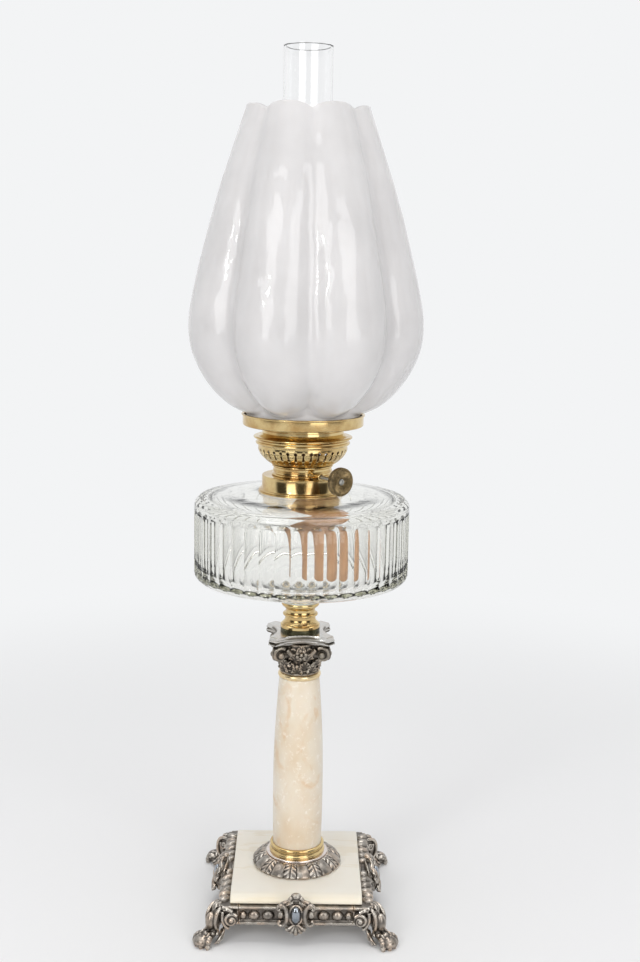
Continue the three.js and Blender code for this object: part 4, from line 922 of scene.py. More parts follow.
def make_shade():
    low, high = span("shade")
    tall = high - low
    # The neck stands inside the ring's wall with a little play.
    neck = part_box("shade_ring")[1].x / MM - 1.2 - 0.7
    outside = flowing([
        (neck, 0), (neck, 8.4), (neck + 0.3, 10.4), (53.6, 11.6), (60.0, 14.2), (68, 18.6),
        (76.5, 25.6), (84, 33.6), (91.5, 44.2), (97.8, 56.4), (101.8, 68.5), (103.3, 81),
        (102.8, 95), (100, 111), (96.2, 128), (91.7, 145), (86.6, 164), (81.0, 183), (75, 202),
        (68.4, 221), (60.4, 244), (54.6, 260), (53.0, tall - 1.6)], 3)
    wall = 3.0
    inside = inset_run(outside[3:-1], wall)
    rim = moulding((53.0, tall - 1.6), (53.0 - wall, tall - 1.5, -1.4))[1:]
    inner_neck = [(neck - wall, 5), (neck - wall, 0)]
    profile = [*outside, *rim, *inside[::-1], *inner_neck]
    lobes, columns = sizes().shade_lobes, 28
    bm = turned([(radius, height + low) for radius, height in profile], lobes * columns)
    for vert in bm.verts:
        over = vert.co.z / MM - low
        share = math.atan2(vert.co.y, vert.co.x) / FULL * lobes
        across = abs(share - math.floor(share) - 0.5) * 2
        pull_in(vert, 1 - between(CREASE, over) * lobe_press(across))
        lift = between([(0, 0), (9.4, 0), (12, 8.4), (22, 6.4), (48, 0), (tall, 0)], over)
        drop = sizes().shade_scallop / MM * between(
            [(0, 0), (tall - 55, 0), (tall - 3, 1), (tall, 1)], over)
        vert.co.z += (lift * across ** 1.8 - drop * across ** 2.4) * MM
    turn_round(bm, SHADE_TURN)
    place_piece(bm, "melon_glass_shade", "satin_glass", "shade", ["shade"], "satin_glass",
                angle=math.radians(60))


def make_chimney():
    low, high = span("chimney")
    tall = high - low
    outside = [(26.5, 0.8), (26.5, 20), *flowing([
        (26.5, 40), (26.4, 46), (25.6, 49.6), (23.9, 53.2), (21.6, 57.4), (19.6, 62), (18.7, 68),
        (18.8, 75), (19.6, 84), (20.4, 91), (20.6, 99)], 4),
        (20.6, 180), (20.6, 260), (20.6, tall - 0.9)]
    wall = 1.8
    inside = inset_run(outside, wall)
    rim = moulding((20.6, tall - 0.9), (20.6 - wall, tall - 0.9, -0.9))[1:-1]
    foot = moulding((26.5 - wall, 0.8), (26.5, 0.8, -0.8))[1:-1]
    profile = [*outside, *rim, *inside[::-1], *foot]
    place_piece(turned([(radius, height + low) for radius, height in profile], 96),
                "clear_glass_chimney", "clear_glass", "chimney", ["chimney"], "clear_glass",
                angle=math.radians(60))


# Gallery


def make_gallery():
    low, high = span("gallery_skirt")
    shelf = high - 5
    place_piece(turned(moulding(
        (39.3, low + 2.4), (40.2, low + 2.4, 0.2), (40.4, low + 4.8, 0.7), (39.9, low + 5.2),
        (41.4, low + 7.4, -0.4), (42.2, low + 7.8), (42.2, low + 9.3, 0.75), (40.9, low + 9.6),
        (36.2, low + 11.6, -0.9), (35.4, low + 12.6), (35.4, high - 3.6), (34.0, high - 3.4),
        (34.0, high - 0.2), (33.0, high - 0.2), (33.0, shelf), (23, shelf), (23, shelf - 1.2),
        (33.4, shelf - 1.2), (33.4, low + 11), (37.1, low + 6.3), (37.1, low + 5.0),
        (39.3, low + 5.0)), 160),
        "moulded_gallery_skirt", "brass", "gallery", ["gallery_skirt"], "brass")
    low, high = span("shade_ring")
    place_piece(turned(moulding(
        (33.4, low), (50.6, low), (52.4, low + 1.6, 0.5), (52.4, high - 0.4),
        (53.3, high + 0.4, 0.2), (52.6, high + 1.3, 0.5), (51.2, high + 0.9, 0.3), (51.0, high),
        (51.0, low + 1), (33.4, low + 1)), 160),
        "shade_holder_ring", "brass", "gallery", ["shade_ring"], "brass")


# Abacus


def abacus_outline(half, hollow, chamfer, cuts=14):
    """Square with hollow sides and cut corners, anticlockwise."""
    flat = half - chamfer * math.sqrt(0.5)
    points = []
    for side in range(4):
        turn = Matrix.Rotation(side * math.pi / 2, 2)
        for cut in range(cuts + 1):
            share = cut / cuts * 2 - 1
            points.append(turn @ Vector((half - hollow * (1 - share * share), flat * share)))
    return points


def make_abacus():
    low, high = span("abacus")
    levels = [(3.4, 0.0), (3.1, 0.4), (2.4, 0.8), (2.1, 1.2), (2.2, 1.7), (2.6, 2.2), (2.4, 2.8),
              (1.2, 3.2), (0.4, 3.6), (0.0, 4.2), (0.0, 5.2), (0.5, 5.6), (0.7, 6.4), (1.0, 7.4),
              (1.6, high - low)]
    outlines = [abacus_outline(31.4 - inset, 9.6, 5.5 + inset * 1.5) for inset, _ in levels]
    bm = bmesh.new()
    corners = [bm.verts.new((*(point * MM), low * MM)) for point in outlines[0]]
    face = bm.faces.new(corners)
    for (_, height), outline in list(zip(levels, outlines))[1:]:
        made = bmesh.ops.extrude_face_region(bm, geom=[face], use_keep_orig=height == levels[1][1])
        face = next(item for item in made["geom"] if isinstance(item, bmesh.types.BMFace))
        for vert in face.verts:
            point = min(outline, key=lambda p: (p * MM - vert.co.xy).length_squared)
            vert.co = (*(point * MM), (low + height) * MM)
    turn_round(bm, CAPITAL_TURN)
    place_piece(bm, "cast_abacus", "abacus", "stand", ["abacus"], "cast_metal",
                angle=math.radians(28))


# Cast ornament


def leaf(bm, spine, across, half, thick, lobes):
    """A lobed leaf along a run of points in millimetres, with a midrib and veins; half is its half
    width."""
    run = [Vector(point) for point in flowing(spine, 6)]
    side = Vector(across).normalized()
    grid = bmesh.ops.create_grid(bm, x_segments=12, y_segments=26, size=1)["verts"]
    for vert in grid:
        v, u = vert.co.x, (vert.co.y + 1) / 2
        place = u * (len(run) - 1)
        here = min(int(place), len(run) - 2)
        point = run[here].lerp(run[here + 1], place - here)
        out = (run[here + 1] - run[here]).normalized().cross(side)
        wide = min(1.0, 0.5 + 1.8 * u) * max(0.05, 1 - u ** 3.2) ** 0.62
        lobe = 1 - 0.34 * abs(v) * (1 - abs(math.sin(math.pi * lobes * (u + 0.06))) ** 0.7)
        rib = 0.55 * math.exp(-(v / 0.16) ** 2)
        vein = 0.32 * abs(v) * math.cos(FULL * (lobes * u - 0.9 * abs(v) + 0.4))
        rise = (1 - v * v) * min(1, 3 * (1 - u) + 0.3) - rib + vein
        vert.co = (point + side * half * wide * lobe * v + out * rise) * MM
    bmesh.ops.solidify(bm, geom=list({f for v in grid for f in v.link_faces}), thickness=thick * MM)


def palmette(bm, foot, side, up, out, size, petals=5):
    """A small spread leaf: round petals in a fan above its foot, over a middle rib. Sizes in
    millimetres."""
    for petal in range(petals):
        lean = (petal / (petals - 1) - 0.5) * 2.3
        way = side * math.sin(lean) + up * math.cos(lean)
        reach = size * (1 - 0.16 * abs(lean))
        rod(bm, [foot + way * size * 0.15, foot + way * reach * 0.65 + out * size * 0.16,
                 foot + way * reach * 0.95 + out * size * 0.3],
            [size * 0.1, size * 0.2, size * 0.22], 2)


def scroll(bm, centre, right, up, radius, turns, start=0.0, thick=1.4, hand=1, eye=1.0):
    """A raised spiral in the plane of right and up, that winds in to a round eye."""
    centre, right, up = Vector(centre), Vector(right), Vector(up)
    steps = max(12, int(turns * 20))
    points, radii = [], []
    for step in range(steps + 1):
        share = step / steps
        reach = radius * (1 - 0.8 * share)
        turn = start + hand * FULL * turns * share
        points.append(centre + right * reach * math.cos(turn) + up * reach * math.sin(turn))
        radii.append(thick * (1 - 0.4 * share))
    rod(bm, points, radii, 2)
    ball(bm, centre, (thick * 1.25 * eye,) * 3, cuts=10)


def make_capital():
    low, high = span("capital")
    tall = high - low
    bm = turned(moulding(
        (5.2, 0), (16.6, 0), (17.2, 1.8, 0.6), (16.4, 2.4), (16.9, 8), (17.2, 15), (18.6, 22),
        (21.0, tall - 0.8), (5.2, tall - 0.8)), 64)
    up = Vector((0, 0, 1))
    for step in range(16):
        turn = Matrix.Rotation((step + 0.5) * math.pi / 8, 3, "Z")
        side, out = turn @ Vector((0, 1, 0)), turn @ Vector((1, 0, 0))
        if step % 2:
            palmette(bm, out * 15.8 + up * 2.4, side, up, out, 7.0)
            ball(bm, out * 18.0 + up * 9.2, (1.5, 2.0, 1.7), turn, 10)
        else:
            palmette(bm, out * 16.2 + up * 7.0, side, up, out, 7.4)
            palmette(bm, out * 16.0 + up * 1.4, side, up, out, 4.2, 3)
    for corner in range(4):
        turn = Matrix.Rotation((corner + 0.5) * math.pi / 2, 3, "Z")
        side, out = turn @ Vector((0, 1, 0)), turn @ Vector((1, 0, 0))
        centre = out * 27.4 + up * (tall - 8.6)
        ball(bm, centre, (6.6, 4.6, 6.9), turn, 20)
        for hand in (-1, 1):
            facing = side * hand * math.cos(0.5) + out * math.sin(0.5)
            along = out * math.cos(0.5) - side * hand * math.sin(0.5)
            face = centre + facing * 3.6
            scroll(bm, face, along, up, 6.6, 1.3, start=math.pi * 0.7, thick=2.0, hand=-1)
            ball(bm, face + facing * 1.4, (3.0, 3.0, 3.0), cuts=16)
            rod(bm, [out * 14 + side * hand * 9 + up * 12, out * 17.5 + side * hand * 8.6 + up * 18,
                     face - along * 5.8 + up * 4.4], [1.4, 2.1, 2.1], 2)
        ball(bm, out * 20.0 + up * (tall - 6), (6.0, 6.4, 5.4), turn, 18)
        palmette(bm, out * 17.6 + up * 8.0, side, up, out, 7.4)
        turn = Matrix.Rotation(corner * math.pi / 2, 3, "Z")
        side, out = turn @ Vector((0, 1, 0)), turn @ Vector((1, 0, 0))
        flower = out * 20.0 + up * 20.6
        for petal in range(7):
            spin = petal / 7 * FULL
            place = flower + side * 3.9 * math.cos(spin) + up * 3.9 * math.sin(spin)
            ball(bm, place, (1.7, 1.9, 1.9), turn, 10)
        ball(bm, flower + out * 0.9, (1.9, 1.8, 1.8), turn, 12)
        palmette(bm, out * 19.0 + up * 23.0, side, up, out, 6.0)
        for hand in (-1, 1):
            palmette(bm, out * 18.6 + side * hand * 6.4 + up * 15.6, side + up * 0.2 * hand, up,
                     out, 6.2)
            palmette(bm, out * 18.2 + side * hand * 7.4 + up * 22.0, side, up, out, 4.8)
    fused(bm, 0.42, 1)
    flatten(bm, 0, tall)
    bmesh.ops.translate(bm, verts=bm.verts, vec=(0, 0, low * MM))
    turn_round(bm, CAPITAL_TURN)
    place_piece(bm, "cast_leaf_capital", "capital", "stand", ["capital"], "cast_metal",
                angle=math.radians(70))


def make_foot_ring():
    low, high = span("foot_ring")
    tall = high - low
    slope = flowing(
        [(39.6, 0.9), (40.2, 2.2), (38.6, 4.4), (35.6, 6.9), (32, 8.9), (28.2, 10.0)], 7)
    profile = [(18, 0), (38.6, 0), (39.3, 0.4), *slope, (27.4, 9.6), (26.9, tall), (18, tall)]
    bm = turned([(radius, height + low) for radius, height in profile], 480)
    # Leaves and round lobes take turns on a band that is this broad outside this radius.
    lobes, inner, broad = 20, 27.8, 12.4
    for vert in bm.verts:
        reach, height = vert.co.xy.length / MM, vert.co.z / MM - low
        if reach < inner or height < 0.6:
            continue
        share = math.atan2(vert.co.y, vert.co.x) / FULL * lobes
        across = (share - math.floor(share) - 0.5) * 2
        along = (reach - inner) / broad
        edge = min(1.0, along * 5) * min(1.0, (height - 0.6) * 1.2)
        if math.floor(share) % 2:
            rise = 1.5 * math.sqrt(max(0, 1 - across ** 2)) - 1.15
        else:
            rise = (1.2 * (1 - across ** 2) - 0.9 - 0.7 * math.exp(-(across / 0.14) ** 2)
                    + 0.45 * abs(across) * math.cos(FULL * (along * 3.2 - abs(across) * 0.8)))
        # Near its edge the ring slopes down, so the leaves rise outwards there.
        lean = 0.55 * along
        vert.co.z += rise * edge * MM * (1 - lean)
        pull_in(vert, 1 + rise * edge * lean * 1.4 / reach)
    place_piece(bm, "cast_leaf_ring", "spelter", "stand", ["foot_ring"], "cast_metal",
                angle=math.radians(60))


# Cast frame under the slab: rails, cartouches and feet


def cartouche(bm, face, middle):
    """Cartouche on a rail that faces -Y: framed boss between two C scrolls, shell below and knob
    above."""
    depth = 3.4
    ball(bm, (0, face + depth, middle + 1), (12.4, depth + 0.4, 12.6), cuts=28)
    ball(bm, (0, face + depth, middle - 8), (9.0, depth + 0.6, 8.0), cuts=20)
    frame = [Vector((5.7 * math.cos(a), face - 0.4, middle + 9.0 * math.sin(a)))
             for a in (FULL * step / 24 for step in range(25))]
    rod(bm, frame, [1.1] * 25, 2)
    for hand in (-1, 1):
        def on_face(*points):
            return [Vector((hand * x, face - y, middle + z)) for x, y, z in points]

        run = flowing(on_face(
            (16.0, 0.6, 4.6), (15.6, 1.4, 8.2), (12.4, 2.2, 10.2), (9.2, 2.4, 7.4), (8.0, 2.4, 3.0),
            (7.8, 2.4, -1.2), (8.4, 2.4, -5.0), (10.8, 2.2, -8.4), (14.0, 1.6, -8.6),
            (15.2, 0.8, -5.8)), 3)
        rod(bm, run,
            [1.0 + 0.9 * math.sin(math.pi * step / (len(run) - 1)) for step in range(len(run))], 3)
        ball(bm, (hand * 13.2, face - 0.6, middle + 0.4), (2.9, 2.4, 3.2), cuts=14)
        ball(bm, (hand * 14.6, face - 0.8, middle + 5.4), (1.8, 1.6, 1.8), cuts=10)
        ball(bm, (hand * 14.0, face - 0.8, middle - 5.6), (1.6, 1.5, 1.6), cuts=10)
        rod(bm, flowing(on_face((12.6, 0.4, 10.4), (9.4, 1.4, 12.6), (6.4, 1.8, 14.8),
                                (3.6, 1.6, 17.0)), 3),
            [1.3 + 0.4 * math.sin(step) for step in range(10)], 3)
        rod(bm, on_face((8.6, 1.6, 9.6), (5.6, 1.8, 11.6), (2.6, 1.6, 12.4)), [0.9, 1.3, 1.0], 2)
    for tip in ((-8.0, -12.6), (-4.6, -15.0), (0.0, -16.8), (4.6, -15.0), (8.0, -12.6)):
        rod(bm, [Vector((tip[0] * 0.2, face - 1.2, middle - 8.6)),
                 Vector((tip[0] * 0.65, face - 2.4, middle - 8.6 + (tip[1] + 8.6) * 0.6)),
                 Vector((tip[0], face - 1.2, middle + tip[1]))], [0.8, 1.7, 2.3], 3)
    ball(bm, (0, face + 0.4, middle + 14.6), (5.4, 2.6, 3.0), cuts=14)
    ball(bm, (0, face + 0.2, middle + 17.4), (4.6, 3.4, 2.7), cuts=18)


def rail_bar(bm, inner, outer, half):
    """Plain moulded bar of a rail with its channel, from -half to half along X."""
    block(bm, (-half, outer + 2.6, RAIL_FOOT), (half, inner, RAIL_TOP - 0.6))
    block(bm, (-half, outer + 2.6, RAIL_FOOT), (half, inner + 12, RAIL_FOOT + 3))
    for height, thick, setback in RAIL_MOULDINGS:
        rod(bm, [(-half, outer + setback, height), (half, outer + setback, height)], [thick, thick],
            3)
        block(bm, (-half, outer + setback, height - thick), (half, inner, height + thick))


def make_rails():
    half, middle = 49.5, (RAIL_FOOT + RAIL_TOP) / 2
    for quarter, name in enumerate(("front", "right", "back", "left")):
        beaded = quarter % 2 == 0
        inner, proud, boss = (-SLAB_Y, 1.6, 0) if beaded else (-SLAB_X, 6.4, 1.3)
        outer = inner - RAIL_DEEP
        bm = bmesh.new()
        rail_bar(bm, inner, outer, half)
        if beaded:
            for hand in (-1, 1):
                for place, size in ((24.0, (5.2, 3.6, 4.1)), (36.2, (4.9, 3.6, 4.1)),
                                    (45.6, (3.1, 3.4, 3.7))):
                    ball(bm, (hand * place, outer + 2.2, middle), size, cuts=20)
        else:
            lean = (Matrix.Rotation(math.radians(38), 3, "Z")
                    @ Matrix.Rotation(math.radians(20), 3, "X"))
            for place in (-45.5, -34.5, -23.5, -12.5, 12.5, 23.5, 34.5, 45.5):
                ball(bm, (place, outer + 4.4, RAIL_TOP - 1.4), (4.7, 7.0, 4.6), lean, 20)
            rod(bm, [(-half, inner - 0.7, RAIL_TOP), (half, inner - 0.7, RAIL_TOP)], [0.7, 0.7], 2)
        cartouche(bm, outer - proud, middle + 2.1)
        if not beaded:
            # The cartouche of a side rail leans in over the slab.
            for vert in bm.verts:
                if abs(vert.co.x) < 17 * MM and vert.co.y < (outer + 2) * MM:
                    over = vert.co.z - 24 * MM
                    vert.co.y += over * (0.36 if over > 0 else 0.1)
        block(bm, (-9, outer - proud + 4, middle - 5), (9, inner, middle + 8))
        fused(bm, 0.42, 0)
        for vert in bm.verts:
            back = inner + 12 if vert.co.z < 20.4 * MM else inner
            vert.co.x = max(-half * MM, min(half * MM, vert.co.x))
            vert.co.y = min(vert.co.y, back * MM)
        flatten(bm, 7.3)
        turn_round(bm, quarter * 90)
        place_piece(bm, "cast_rail_" + name, "spelter", "stand", ["rail_" + name], "cast_metal",
                    math.radians(70))
        bm = bmesh.new()
        ball(bm, (0, outer - proud - 0.6 + boss, middle + 2.1), (4.4, 3.4, 7.9), cuts=32)
        turn_round(bm, quarter * 90)
        place_piece(bm, "cartouche_boss_" + name, "boss", "stand", [], "cast_metal")


def paw(bm):
    """Lion's paw in the plane of a leg: X outwards from the lamp's axis, Y across."""
    ball(bm, (113.6, 0, 5.0), (7.6, 8.2, 5.2), cuts=24)
    ball(bm, (108.8, 0, 7.8), (4.8, 5.4, 4.0), cuts=18)
    for across in (-7.4, -2.6, 2.6, 7.4):
        fan = 1 - abs(across) * 0.0052
        rod(bm, [(110.5 * fan, across * 0.7, 8.0), (115.0 * fan, across * 0.9, 8.4),
                 (118.6 * fan, across * 1.06, 6.4), (119.6 * fan, across * 1.12, 2.6)],
            [1.6, 2.4, 2.6, 2.2], 3)
        ball(bm, (116.6 * fan, across * 0.98, 7.6), (2.9, 2.5, 2.5), cuts=14)
        ball(bm, (119.4 * fan, across * 1.12, 3.0), (2.5, 2.5, 2.8), cuts=14)
    for across in (-4.4, 0.0, 4.4):
        rod(bm, [(106.5, across * 0.8, 11.2), (110, across, 11.0), (113, across * 1.1, 9.4)],
            [0.9, 1.1, 0.6], 2)


def leg(bm):
    """Curved leg above the paw: a smooth knee held in scrolled ridges, with leaves at the heel and
    the corner."""
    rod(bm, [(84, 0, 26), (91, 0, 27.4), (97.0, 0, 25.5), (100.2, 0, 19), (99.6, 0, 12.5),
             (102, 0, 8.0), (108, 0, 6.2)], [5.4, 5.8, 5.4, 5.2, 4.4, 4.4, 4.8], 4)
    lean = Matrix.Rotation(math.radians(-8), 3, "Y")
    ball(bm, (104.0, 0, 19.6), (4.8, 4.8, 7.8), lean, 32)
    for hand in (-1, 1):
        rod(bm, flowing([
            (88, 4.4 * hand, 31.6), (95, 5.2 * hand, 31.6), (100.8, 5.4 * hand, 28.4),
            (103.6, 5.4 * hand, 22), (103.2, 5.4 * hand, 15.4), (100.6, 5.0 * hand, 10.8),
            (102.4, 5.6 * hand, 7.4)], 3),
            [1.1, 1.3, 1.5, 1.6, 1.7, 1.7, 1.7, 1.7, 1.7, 1.7, 1.6, 1.6, 1.5, 1.5, 1.4, 1.4, 1.3,
             1.2, 1.1], 3)
        scroll(bm, (94.4, 6.2 * hand, 24.6), (1, 0, 0), (0, 0, 1), 4.0, 1.3, 0.4, 1.3, -1)
        leaf(bm, [(93, 6.6 * hand, 17.6), (97.4, 8.8 * hand, 11.6), (102.4, 9.6 * hand, 6.6),
                  (107.4, 9.4 * hand, 3.4)], (0.45, 1, 0.7 * hand), 3.4, 1.2, 3)
        rod(bm, [(96, 7.2 * hand, 12), (100, 8.8 * hand, 6.2), (105, 9.2 * hand, 2.6)],
            [2.2, 2.4, 1.8], 2)
        ball(bm, (106.0, 4.6 * hand, 9.4), (2.2, 2.0, 2.2), cuts=10)
    leaf(bm, [(90, 0, 30.5), (89.4, 0, 33), (87.4, 0, 35.4), (84.6, 0, 36.6)],
         (0, 1, 0), 4.2, 1.3, 3)
    leaf(bm, [(88, 0, 31), (93.4, 0, 33.4), (98.6, 0, 32.6), (101.6, 0, 29)],
         (0, 1, 0), 3.6, 1.2, 3)


def corner_arms(bm):
    """The two arms of a foot that meet the rails, with a scroll beside the leg on each; corner at
    +X, +Y."""
    start = 49.6
    for inner, beside, across in ((SLAB_Y, SLAB_X, 55.8), (SLAB_X, SLAB_Y, 64.5)):
        end, face = beside + RAIL_DEEP - 3, inner + RAIL_DEEP
        arm = bmesh.new()
        block(arm, (start, inner, RAIL_FOOT), (end, inner + 6.6, RAIL_TOP - 0.6))
        for height, thick, setback in RAIL_MOULDINGS:
            block(arm, (start, inner, height - thick), (end, face - setback, height + thick))
            rod(arm, [(start, face - setback, height), (end, face - setback, height)], [thick] * 2,
                3)
        ball(arm, (across, face - 1.2, 21.6), (6.0, 2.4, 6.2), cuts=24)
        scroll(arm, (across, face + 0.9, 21.6), (1, 0, 0), (0, 0, 1), 6.2, 1.35, 2.5, 1.7, -1, 1.3)
        rod(arm, flowing([(across + 6.6, face - 0.6, 30.6), (across + 3.0, face + 0.8, 31.4),
                          (across - 1.0, face + 1.0, 29.4)], 3), [1.7] * 7, 3)
        rod(arm, flowing([(across + 7.4, face - 0.4, 28.6), (across + 7.6, face + 0.4, 22.0),
                          (across + 5.2, face + 0.2, 15.8), (across + 2.0, face - 0.6, 13.4)], 3),
            [1.6] * 10, 3)
        if inner == SLAB_X:
            lean = Matrix.Rotation(math.radians(-38), 3, "Z")
            for place in (52.0, 62.0):
                ball(arm, (place, inner + 4.6, RAIL_TOP - 1.4), (4.7, 6.2, 4.4), lean, 20)
            swapped = Matrix(((0, 1, 0, 0), (1, 0, 0, 0), (0, 0, 1, 0), (0, 0, 0, 1)))
            bmesh.ops.transform(arm, matrix=swapped, verts=arm.verts)
        mesh = bpy.data.meshes.new("arm")
        arm.to_mesh(mesh)
        arm.free()
        bm.from_mesh(mesh)
        bpy.data.meshes.remove(mesh)


def make_feet():
    shape = bmesh.new()
    paw(shape)
    leg(shape)
    turn_round(shape, 45)
    corner_arms(shape)
    fused(shape, 0.5, 1)
    for vert in shape.verts:
        x, y, z = (c / MM for c in vert.co)
        if z < 1:
            vert.co.z = 0
        elif 17 < z < 40.7 and x < SLAB_X and y < SLAB_Y:
            # The nearer face of the slab cuts the foot off.
            if SLAB_X - x < SLAB_Y - y:
                vert.co.x = SLAB_X * MM
            else:
                vert.co.y = SLAB_Y * MM
    mesh = bpy.data.meshes.new("foot")
    shape.to_mesh(mesh)
    shape.free()
    for depth, y in (("front", -1), ("back", 1)):
        for side, x in (("left", -1), ("right", 1)):
            bm = bmesh.new()
            bm.from_mesh(mesh)
            bmesh.ops.scale(bm, vec=(x, y, 1), verts=bm.verts)
            name = f"{depth}_{side}"
            place_piece(bm, "lion_foot_" + name, "spelter", "stand", ["foot_" + name], "cast_metal",
                        math.radians(70))
    bpy.data.meshes.remove(mesh)


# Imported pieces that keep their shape


KEPT = {
    "steel": ("rod_washer", "rod_nut", "tie_rod", "winder_wheel_inner", "winder_wheel_outer"),
    "plaster": ("peg_cement", "collar_cement"),
    "brass": ("wick_guide", "chimney_crown"),
    "inner_brass": ("wick_tube", "air_plate", "spindle_bracket"),
}


def finish_kept_pieces():
    for finish, names in KEPT.items():
        for name in names:
            slots = frame["nodes"][name].data.materials
            slots.clear()
            slots.append(material_for(finish))


# Stage


def lamp_light(name, azimuth, height, aim, size, radiance, away=1.8):
    """A soft rectangular lamp that looks at a point. Azimuth runs from the front to the right, in
    degrees."""
    light = bpy.data.lights.new(name, "AREA")
    light.shape = "RECTANGLE"
    light.size, light.size_y = size
    light.energy = radiance * math.pi * size[0] * size[1]
    holder = in_scene(name, light)
    turn = math.radians(azimuth)
    place = Vector((away * math.sin(turn), -away * math.cos(turn), height))
    holder.location = place
    holder.rotation_euler = (Vector(aim) - place).to_track_quat("-Z", "Y").to_euler()


def floor_material():
    """Matt painted studio floor that fades into the white backdrop away from the lamp."""
    material, tree, place = new_material("matt_studio_floor")
    paint = add(tree, "BsdfPrincipled", 0, {
        "Base Color": tuple(sizes().floor_colour), "Roughness": 0.75, "Specular IOR Level": 0.2})
    far = add(tree, "VectorMath", "Value", {0: place}, operation="LENGTH")
    share = add(tree, "MapRange", 0, {0: far, 1: 0.25, 2: 1.15, 3: 0.0, 4: 1.0},
                interpolation_type="SMOOTHSTEP")
    glow = add(tree, "Emission", 0, {"Color": linear("#F3F4F5")})
    path = add(tree, "LightPath", None)
    bent = add(tree, "Math", 0, {
        0: path.outputs["Is Glossy Ray"], 1: path.outputs["Is Transmission Ray"]},
        operation="MAXIMUM")
    seen = add(tree, "Math", 0, {0: path.outputs["Is Camera Ray"], 1: bent}, operation="MAXIMUM")
    shown = add(tree, "Math", 0, {0: share, 1: seen}, operation="MULTIPLY")
    mixed = add(tree, "MixShader", 0, {0: shown, 1: paint, 2: glow})
    return finished(material, tree, mixed)


def make_floor():
    bm = bmesh.new()
    bmesh.ops.create_circle(bm, cap_ends=True, cap_tris=False, segments=96, radius=3.2)
    mesh = bpy.data.meshes.new("studio_floor")
    bm.to_mesh(mesh)
    bm.free()
    floor = in_scene("studio_floor", mesh)
    mesh.materials.append(floor_material())


def make_world():
    """White backdrop. Soft light comes mostly from the front, and metal mirrors a dark room
    between the lamps."""
    world = bpy.data.worlds.new("studio_world")
    world.use_nodes = True
    tree = world.node_tree
    tree.nodes.clear()
    path = add(tree, "LightPath", None)
    clear = add(tree, "Math", 0, {
        0: path.outputs["Is Camera Ray"], 1: path.outputs["Is Transmission Ray"]},
        operation="MAXIMUM")
    way = add(tree, "SeparateXYZ", None, {0: add(tree, "TexCoord", "Generated")})
    ahead = add(tree, "Math", 0, {0: way.outputs[1], 1: -1.0}, operation="MULTIPLY")
    level = add(tree, "MapRange", 0, {0: ahead, 1: -1.0, 2: 1.0, 3: 0.24, 4: 0.50})
    soft = add(tree, "Background", 0, {"Color": linear("#F4F4F4"), "Strength": level})
    white = add(tree, "Background", 0, {"Color": linear("#F3F4F5"), "Strength": 1.0})
    round_angle = add(tree, "Math", 0, {
        0: add(tree, "Math", 0, {0: way.outputs[0], 1: ahead}, operation="ARCTAN2")},
        operation="ABSOLUTE")
    side = add(tree, "MapRange", 0, {0: round_angle, 1: 1.25, 2: 1.5, 3: 0.0, 4: 1.0},
               interpolation_type="SMOOTHSTEP")
    over = add(tree, "MapRange", 0, {0: way.outputs[2], 1: 0.5, 2: 0.8, 3: 0.0, 4: 0.8},
               interpolation_type="SMOOTHSTEP")
    lit = add(tree, "Math", 0, {0: side, 1: over}, operation="MAXIMUM")
    room = add(tree, "Mix", 2, {0: lit, 6: linear("#45423C"), 7: linear("#F3F4F5")},
        data_type="RGBA")
    mirror = add(tree, "Background", 0, {"Color": room, "Strength": 1.0})
    glossy = add(tree, "MixShader", 0, {0: path.outputs["Is Glossy Ray"], 1: soft, 2: mirror})
    whole = add(tree, "MixShader", 0, {0: clear, 1: glossy, 2: white})
    add(tree, "OutputWorld", None, {"Surface": whole})
    bpy.context.scene.world = world


def make_camera():
    data = bpy.data.cameras.new("photo_view")
    data.sensor_fit = "VERTICAL"
    data.sensor_height = 36
    data.lens = 48.24
    data.clip_start, data.clip_end = 0.05, 20
    camera = in_scene("photo_view", data)
    # Fitted to the circles and the axis of the lamp in the photo, in degrees and metres.
    pitch, yaw, roll = (math.radians(a) for a in (9.786, 0.782, 0.984))
    ahead = Vector((math.sin(yaw) * math.cos(pitch), math.cos(yaw) * math.cos(pitch),
                    -math.sin(pitch)))
    right = Vector((math.cos(yaw), -math.sin(yaw), 0))
    up = right.cross(ahead)
    right, up = (right * math.cos(roll) + up * math.sin(roll),
                 up * math.cos(roll) - right * math.sin(roll))
    turn = Matrix((right, up, -ahead)).transposed()
    camera.matrix_world = Matrix.Translation((0.0003, -1.10925, 0.58579)) @ turn.to_4x4()
    bpy.context.scene.camera = camera


def make_stage():
    make_floor()
    make_world()
    make_camera()
    lamp_light("left_softbox", -31, 1.0, (0, 0, 0.4), (0.85, 1.6), 2.6)
    lamp_light("right_softbox", 29, 0.9, (0, 0, 0.4), (1.1, 1.6), 2.3)
    lamp_light("left_bulb", -36, 1.15, (0, 0, 0.45), (0.12, 0.14), 30.0, 1.7)
    lamp_light("top_softbox", 180, 2.0, (0, 0, 0.2), (1.8, 1.8), 2.2, 0.2)
    bpy.context.scene.view_settings.view_transform = "Standard"


# Operators, one for each group of pieces


class LAMP_OT_slab(bpy.types.Operator):
    """Builds the marble slab with its rounded front and back"""

    bl_idname = "lamp.slab"
    bl_label = "Marble slab"

    def execute(self, context):
        make_slab()
        return {"FINISHED"}


class LAMP_OT_rails(bpy.types.Operator):
    """Builds the four cast rails with their cartouches"""

    bl_idname = "lamp.rails"
    bl_label = "Cast rails"

    def execute(self, context):
        make_rails()
        return {"FINISHED"}


class LAMP_OT_feet(bpy.types.Operator):
    """Builds the four corner legs with their paws"""

    bl_idname = "lamp.feet"
    bl_label = "Lion feet"

    def execute(self, context):
        make_feet()
        return {"FINISHED"}


